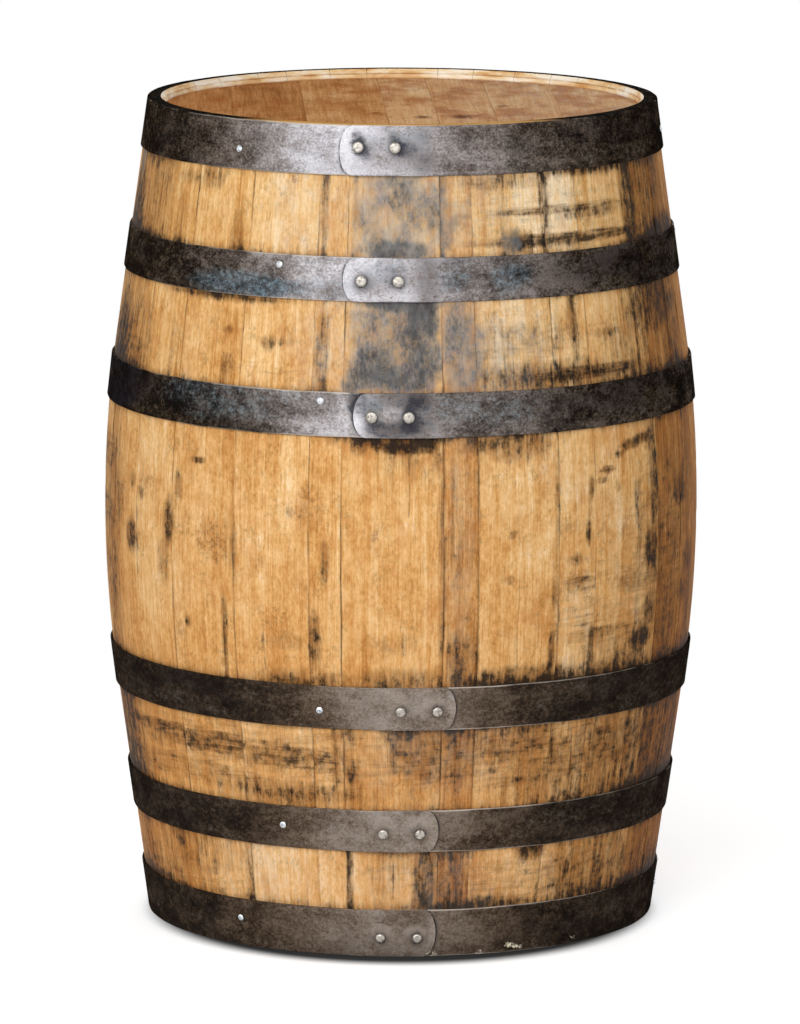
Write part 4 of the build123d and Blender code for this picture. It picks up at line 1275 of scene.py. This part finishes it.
def hoopSeat(hoop, share, angle):
    # origin on a hoop's inner face with axes up it, along it and out of the cask
    slope = float(outerSlope(hoop["level"]))
    height = hoop["low"] + share * hoop["width"]
    inside = float(outerRadius(hoop["level"])) + hoopLook["clearance"]
    origin = polar(inside + slope * (height - hoop["level"]), angle, height)
    upward, outward = polar(slope, angle, 1.0), polar(1.0, angle, -slope)
    upward, outward = upward / np.linalg.norm(upward), outward / np.linalg.norm(outward)
    return origin, np.stack([upward, np.cross(outward, upward), outward])


def makeCopies(name, shapes, seats, material, node):
    # shapes moved onto their seats, as one piece
    points, faces, first = [], [], 0
    for (shape, parts), (origin, axes) in zip(shapes, seats):
        points.append(origin + shape @ axes)
        faces += [part + first for part in parts]
        first += len(shape)
    makePiece(name, np.concatenate(points), faces, [material], "cask", [node], sharp=32)


rivetLook = {
    "shank": 3.4,
    "foot": 5.0,
    "footDepths": (0.1, 1.1),
    "clearance": 0.1,
    "side": 1.5,
    "rise": 2.0,
    "hammered": 0.28,
    # shares of the head's radius at which its crown has rings
    "rings": (1.0, 0.99, 0.965, 0.92, 0.86, 0.78, 0.62, 0.45, 0.25),
    # head radius and metal
    "rows": {"upper": (6.3, upperRivetSteel), "lower": (5.4, lowerRivetSteel)},
}


def rivetShape(head):
    # flat foot, shank, and a low head: rounded rim, a crown that flattens, and hammer marks
    seat = 2 * hoopLook["thickness"] + hoopLook["lapGap"] + rivetLook["clearance"]
    foot, shank, (inner, outer) = rivetLook["foot"], rivetLook["shank"], rivetLook["footDepths"]
    share = np.array(rivetLook["rings"])
    crown = seat + rivetLook["side"] + rivetLook["rise"] * (1 - share**7) ** 0.7
    profile = [(0, inner), (foot, inner), (foot, outer), (shank, outer), (shank, seat),
               (0.96 * head, seat), (0.995 * head, seat + 0.4), *zip(head * share, crown),
               (0, seat + rivetLook["side"] + rivetLook["rise"])]
    points, faces = lathe(profile, 48)
    isHead = points[:, 2] > seat + 0.3
    hammer = ripple(points[:, 0], points[:, 1], 5.0, 5.0, 6)
    points[:, 2] += np.where(isHead, rivetLook["hammered"] * np.minimum(hammer, 0), 0)
    uneven = 0.98 + 0.02 * ripple(points[:, 0], points[:, 1], 7.0, 7.0, 5)
    points[:, :2] *= np.where(isHead, uneven, 1)[:, None]
    return points, faces


def rivetSeats(hoop):
    # the lap's two rivets, by their distances from its free end
    toAngle = hoop["lapWay"] * math.degrees(1 / float(outerRadius(hoop["level"])))
    return [hoopSeat(hoop, hoop["rivetShare"], hoop["lapEnd"] + reach * toAngle) for reach in rivetReaches]


for row, (headRadius, steel) in rivetLook["rows"].items():
    rowHoops = [hoop for hoop in hoops.values() if hoop["isUpper"] == (row == "upper")]
    seats = [seat for hoop in rowHoops for seat in rivetSeats(hoop)]
    shapes = [rivetShape(headRadius) for _ in seats]
    makeCopies(f"{row}Rivets", shapes, seats, steel, f"{row}_hoop_rivets")

screwLook = {
    "shank": 1.9,
    "length": 14.0,
    "point": 3.0,
    "head": 3.5,
    "side": 0.7,
    "rise": 1.3,
    "clearance": 0.1,
    "perHoop": 3,
    "slot": (0.42, 0.25),  # half the width of the cross, and its slope
    "slotReach": 2.0,
    "slotDepth": 0.9,
    "rings": (1.0, 0.97, 0.9, 0.8, 0.7, 0.6, 0.52, 0.44, 0.36, 0.28, 0.2, 0.12, 0.05),
}


def screwShape(degrees):
    # pointed shank, then a domed head with a cross cut into it, turned about its axis
    shank, head, reach = screwLook["shank"], screwLook["head"], screwLook["slotReach"]
    seat = hoopLook["thickness"] + screwLook["clearance"]
    share = np.array(screwLook["rings"])
    rim, tip = seat + screwLook["side"], seat - screwLook["length"]
    profile = [(0, tip), (shank, tip + screwLook["point"]), (shank, seat), (head, seat),
               *zip(head * share, rim + screwLook["rise"] * (1 - share**2)), (0, rim + screwLook["rise"])]
    points, faces = lathe(profile, 64)
    x, y = np.abs(points[:, 0]), np.abs(points[:, 1])
    slot, slope = screwLook["slot"]
    cross = 1 - smooth(slot, slot + slope, np.minimum(x, y))
    cross = cross * (1 - smooth(reach - 0.5, reach, np.hypot(x, y)))
    points[:, 2] -= np.where(points[:, 2] > seat + 0.3, screwLook["slotDepth"] * cross, 0)
    turn = math.radians(degrees)
    points[:, :2] = points[:, :2] @ [[math.cos(turn), math.sin(turn)], [-math.sin(turn), math.cos(turn)]]
    return points, faces


def screwSeats(hoop):
    # the front screw where it shows, the others in the middle of the stave a third of a turn on
    angles = [hoop["screwAngle"]]
    for turn in range(1, screwLook["perHoop"]):
        wanted = hoop["screwAngle"] + 360 / screwLook["perHoop"] * turn
        wanted = (wanted - stavePlaces[0]) % 360 + stavePlaces[0]
        index = int(np.searchsorted(stavePlaces, wanted, "right")) - 1
        angles.append((stavePlaces[index] + stavePlaces[index + 1]) / 2)
    return [hoopSeat(hoop, hoop["screwShare"], angle) for angle in angles]


seats = [seat for hoop in hoops.values() for seat in screwSeats(hoop)]
screws = [screwShape(rng.uniform(0, 90)) for _ in seats]
makeCopies("crossHeadScrews", screws, seats, screwZinc, "hoop_screws")
print("fasteners made:", 2 * len(hoops) + len(seats))

headLook = {
    "radius": 255.5,
    "jointShares": (0.14, 0.292, 0.4625, 0.566, 0.688, 0.829),
    "turns": {"top": 2.0, "bottom": -34.0},
    # depth below the stave ends and radius, from the outer face over the tongue to the inner face
    "edge": ((9.5, 255.5), (16.8, 255.5), (20.3, 260.5), (23.7, 260.5), (27.2, 255.5), (34.5, 245.5)),
    "edgeCols": (0.0, 0.4, 1.0, 2.0, 4.0),  # distances from the joints
    "colStep": 6.0,
    "rows": 72,
    "chord": 0.9995,  # the outermost columns stop just inside the circle
    # an amount, and the reach over which it falls
    "jointDrop": (0.45, 1.8),
    "rimDrop": (0.5, 2.0),
    "rimShadeAndGrime": (0.5, 14.0),
    "frontLight": (0.28, 22.0),
    "uneven": 0.25,
    "wave": 0.12,
    "dust": 0.16,
    "shift": (131.0, 3.9),  # moves the pattern from board to board
    "cleanLevels": (-1.2, -0.5, -0.5),
    "tones": {
        "top": (-0.1, -0.12, 0.0, 0.2, 0.12, 0.19, 0.2),
        "bottom": (0.0, -0.05, 0.04, 0.02, -0.06, 0.03, 0.0),
    },
    "firstNumbers": {"top": 40, "bottom": 60},  # each board has a pattern of its own
    # knots and dark spots on the top: across, along, radius, strength
    "knots": ((-31.0, -80.0, 9.0, 0.85), (18.0, -118.0, 14.0, 0.9), (61.0, -114.0, 18.0, 0.95),
              (108.0, -17.0, 10.0, 0.9), (-95.0, 20.0, 26.0, 0.5)),
}


def makeBoard(end, place):
    # a board of the round head on a grid: columns across it, rows along its chord, so that a row's
    # ends lie on the circle; rings of the edge's profile join the outer face to the inner one
    isTop = end == "top"
    headRadius = headLook["radius"]
    joints = [(2 * share - 1) * headRadius for share in headLook["jointShares"]]
    left, right = [-math.inf, *joints, math.inf][place:place + 2]

    def span(radius):
        # from joint to joint, or to the circle where there is none
        chord = radius * headLook["chord"]
        return max(left, -chord), min(right, chord)

    width = span(headRadius)[1] - span(headRadius)[0]
    edge = np.array(headLook["edgeCols"])
    count = max(2, round((width - 2 * edge[-1]) / headLook["colStep"]) + 1)
    inside = np.linspace(edge[-1], width - edge[-1], count)
    shares = np.unique(np.round(np.concatenate([edge, width - edge, inside]), 3)) / width
    rows = np.linspace(-1, 1, headLook["rows"])
    rows = 0.25 * np.sin(rows * np.pi / 2) + 0.75 * rows

    def layout(radius):
        # columns at the same shares of the width, rows at the same shares of each chord
        start, stop = span(radius)
        u = start + (stop - start) * shares
        return np.broadcast_to(u, (len(rows), len(u))), rows[:, None] * np.sqrt(radius**2 - u**2)

    u, v = layout(headRadius)
    toJoint, toRim = np.minimum(u - left, right - u), headRadius - np.hypot(u, v)
    sink = rounding(headLook["jointDrop"], toJoint) + rounding(headLook["rimDrop"], toRim)
    sink = sink + headLook["uneven"] * rng.uniform(0, 1)
    sink = sink + headLook["wave"] * (1 + ripple(u, v, 18, 200))
    number = np.arange(u.size).reshape(u.shape)
    loop = np.concatenate([number[0, :-1], number[:-1, -1], number[-1, :0:-1], number[:0:-1, 0]])
    # across, along and depth: the outer face, the edge's rings, and the inner face
    recess, backDepth = headLook["edge"][0][0], headLook["edge"][-1][0]
    flat = [np.stack([u, v, recess + sink], -1).reshape(-1, 3)]
    faces = [gridFaces(*u.shape, flip=not isTop)]
    upper, first = loop, u.size
    for depth, radius in headLook["edge"][1:]:
        isBack = depth == backDepth
        taken = number.ravel() if isBack else loop
        ring = first + (loop if isBack else np.arange(len(loop)))
        ringU, ringV = (part.ravel()[taken] for part in layout(radius))
        flat.append(np.column_stack([ringU, ringV, np.full(len(taken), depth)]))
        faces.append(stripFaces(ring, upper, close=True, flip=not isTop))
        upper, first = ring, first + len(taken)
    faces.append(gridFaces(*u.shape, first - u.size, flip=isTop))
    flat = np.concatenate(flat)
    across, along, depths = flat.T
    turn = math.radians(headLook["turns"][end])
    points = np.column_stack([
        across * math.cos(turn) - along * math.sin(turn),
        across * math.sin(turn) + along * math.cos(turn),
        caskHeight - depths if isTop else depths,
    ])
    fromRim = np.maximum(headRadius - np.hypot(across, along), 0)
    seam = np.full(len(flat), 99.0)
    seam[:u.size] = np.minimum(toJoint, 1.2 * toRim + 0.8).ravel()
    marks = np.zeros((len(flat), 3)) + headLook["cleanLevels"]
    # grime and painted shade along the rim, under the chime
    marks[:, 1] += fading(headLook["rimShadeAndGrime"], fromRim)
    knots = np.zeros(len(flat))
    for knotU, knotV, size, strength in headLook["knots"] if isTop else ():
        spot = np.exp(-((across - knotU) ** 2 / size**2 + (along - knotV) ** 2 / (1.6 * size) ** 2))
        marks[:, 1] += strength * spot
        knots = np.maximum(knots, 0.7 * strength * spot)
    offset = rng.uniform(0, 3000)
    board = headLook["firstNumbers"][end] + place
    frontEdge = fading(headLook["frontLight"], fromRim) * smooth(20, -120, along)
    aside, apiece = (shift * board for shift in headLook["shift"])
    fields = {
        "grain": np.column_stack([across + aside, along + offset, np.full(len(flat), apiece)]),
        "tone": headLook["tones"][end][place] + frontEdge,
        "dust": headLook["dust"] * smooth(-40, 160, across),
        "seam": seam,
        "marks": marks,
        "knots": knots,
    }
    name, node = f"{end}HeadBoard{place + 1}", f"{end}_head_board_{place + 1}"
    makePiece(name, points, faces, [headOak], "cask", [node], None, fields)


for end in headLook["turns"]:
    for place in range(len(headLook["jointShares"]) + 1):
        makeBoard(end, place)
print("heads made")

bungLook = {
    "radius": 26.0,
    "innerRadius": 23.6,
    "length": 38.0,
    # radius and height up to the outer rim, from the inner end's middle
    "side": ((0, -38.0), (12.0, -38.0), (22.4, -38.0), (23.3, -37.6), (23.67, -36.9), (24.4, -25.0),
             (25.2, -12.0)),
    "rim": ((0.0, -1.9), (-0.3, -1.1)),  # in from the rim, and height
    "dent": 0.6,
}


def makeBung():
    # tapered plug with rounded ends; its outer face is crowned, ringed by the lathe and dented by the mallet
    taper = (bungLook["radius"] - bungLook["innerRadius"]) / bungLook["length"]
    rim = bungLook["radius"] - taper * 1.5
    share = np.linspace(1, 0.04, 26)
    face = -0.55 * share**2 - 0.12 * (1 + np.sin(share * 34))
    edge = [(rim + inset, height) for inset, height in bungLook["rim"]]
    points, faces = lathe([*bungLook["side"], *edge, *zip((rim - 1.2) * share, face), (0, -0.05)], 96)
    dents = np.minimum(ripple(points[:, 0], points[:, 1], 17.0, 17.0, 6), 0)
    points[:, 2] += np.where(points[:, 2] > -1.0, bungLook["dent"] * dents, 0)
    reach = math.sqrt(bilgeRadius**2 - bungLook["radius"] ** 2)
    points = points[:, [1, 2, 0]] + (0, reach, midHeight)  # its axis points out of the back
    makePiece("turnedBung", points, faces, [bungPoplar], "bung", ["bung"], sharp=45)


makeBung()
for node in ("top_head_dowels", "bottom_head_dowels"):
    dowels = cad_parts[node]
    dowels.data.materials.clear()
    dowels.data.materials.append(dowelBeech)
print("bung and dowels made")

# floor, lamps and camera
studio = {
    "floorHalf": 30.0,
    "floorTone": 0.7,
    "floorWhite": 0.55,  # what the floor shows without light
    "floorShade": 0.78,  # and what light adds to it
    "shadowReach": (0.55, 1.3),  # metres from the middle over which the shadow is let fade to white
    "paintedContactShadow": (0.268, 0.306, 0.03),  # a painted contact shadow: from and to, in metres from the middle, and the least light
    "paintedShadowShift": 0.022,  # the middle of that shade, in front of the cask's
    "paintedShadowSqueeze": 1.07,  # how much narrower it is at the sides
    "ambient": 0.23,
    # azimuth, elevation, distance, size in metres, and how much of a full-strength key
    "lamps": {
        "frontKey": (-16.0, 27.0, 4.2, 2.8, 0.64),
        "rightFill": (46.0, 20.0, 4.6, 2.4, 0.16),
        "leftFill": (-72.0, 20.0, 4.6, 2.4, 0.15),
        "backFill": (172.0, 26.0, 4.6, 2.8, 0.45),
    },
}
white = (1, 1, 1, 1)


def seenDirectly(tree):
    # 1 for rays from the camera and for those that show the background in metal or glass
    path = addNode(tree, "LightPath", out=None)
    seen = path["Is Camera Ray"]
    for other in ("Is Glossy Ray", "Is Transmission Ray"):
        seen = addNode(tree, "Math", (seen, path[other]), operation="MAXIMUM")
    return seen


def makeFloor():
    # white paper to the camera, darker in the cask's shade and in a painted contact shadow round its foot;
    # plain grey to light that bounces
    material, tree = newMaterial("pale paper floor")
    plain = addNode(tree, "BsdfDiffuse", {"Color": (*[studio["floorTone"]] * 3, 1)})
    paper = addNode(tree, "Emission", {"Color": white, "Strength": 1.0})
    place = addNode(tree, "TexCoord", out="Object")
    reach = addNode(tree, "VectorMath", (place,), out="Value", operation="LENGTH")
    # a painted contact shadow: darker in a ring round the cask's foot, set towards the front
    start, end, least = studio["paintedContactShadow"]
    squeeze, shift = (studio["paintedShadowSqueeze"], 1.0, 1.0), (0.0, studio["paintedShadowShift"], 0.0)
    shifted = addNode(tree, "VectorMath", (place, squeeze, shift), operation="MULTIPLY_ADD")
    under = addNode(tree, "VectorMath", (shifted,), out="Value", operation="LENGTH")
    paintedContactShadow = addNode(tree, "MapRange", (under, start, end, least, 1.0), interpolation_type="SMOOTHSTEP")
    level = addNode(tree, "Math", (paintedContactShadow, studio["floorShade"]), operation="MULTIPLY")
    shade = addNode(tree, "BsdfDiffuse", {"Color": level})
    level = addNode(tree, "Math", (paintedContactShadow, studio["floorWhite"]), operation="MULTIPLY")
    glow = addNode(tree, "Emission", {"Color": white, "Strength": level})
    lit = addNode(tree, "AddShader", (shade, glow))
    near, far = studio["shadowReach"]
    away = addNode(tree, "MapRange", (reach, near, far, 0.0, 1.0), interpolation_type="SMOOTHSTEP")
    shown = addNode(tree, "MixShader", (away, lit, paper))
    shader = addNode(tree, "MixShader", (seenDirectly(tree), plain, shown))
    addNode(tree, "OutputMaterial", (shader,), out=None)
    half = studio["floorHalf"]
    mesh = bpy.data.meshes.new("floor")
    corners = [(-half, -half, 0), (half, -half, 0), (half, half, 0), (-half, half, 0)]
    mesh.from_pydata(corners, [], [(0, 1, 2, 3)])
    mesh.materials.append(material)
    floor = bpy.data.objects.new("floor", mesh)
    bpy.context.scene.collection.objects.link(floor)


def makeLight():
    # an even world that shows white, and square lamps aimed at the cask's middle
    world = bpy.data.worlds.new("soft studio")
    world.use_nodes = True
    tree = world.node_tree
    tree.nodes.clear()
    dim = addNode(tree, "Background", {"Color": white, "Strength": studio["ambient"]})
    bright = addNode(tree, "Background", {"Color": white, "Strength": 1.0})
    both = addNode(tree, "MixShader", (seenDirectly(tree), dim, bright))
    addNode(tree, "OutputWorld", (both,), out=None)
    bpy.context.scene.world = world
    for name, (azimuth, elevation, distance, size, share) in studio["lamps"].items():
        lamp = bpy.data.lights.new(name, "AREA")
        lamp.shape = "SQUARE"
        lamp.size = size
        lamp.energy = share * math.pi**2 * distance**2  # at share 1 a white face towards it renders white
        light = bpy.data.objects.new(name, lamp)
        lift = math.radians(elevation)
        out, up = distance * math.cos(lift), distance * math.sin(lift)
        light.location = polar(out, azimuth, midHeight * mm + up)
        light.rotation_euler = (math.pi / 2 - lift, 0, math.radians(azimuth))
        light.visible_camera = False
        bpy.context.scene.collection.objects.link(light)


def makeCamera():
    # the camera that was fitted to the photograph
    lens = bpy.data.cameras.new("camera")
    lens.sensor_fit = "VERTICAL"
    lens.sensor_height = photo["sensor"]
    lens.lens = photo["focal"] * photo["sensor"] / photo["height"]
    camera = bpy.data.objects.new("camera", lens)
    camera.location = [part * mm for part in photo["place"]]
    camera.rotation_mode = "ZYX"
    camera.rotation_euler = (math.radians(90 - photo["pitch"]), 0, math.radians(photo["roll"]))
    bpy.context.scene.collection.objects.link(camera)
    bpy.context.scene.camera = camera


makeFloor()
makeLight()
makeCamera()
bpy.context.scene.view_settings.view_transform = "Standard"
print("studio ready")
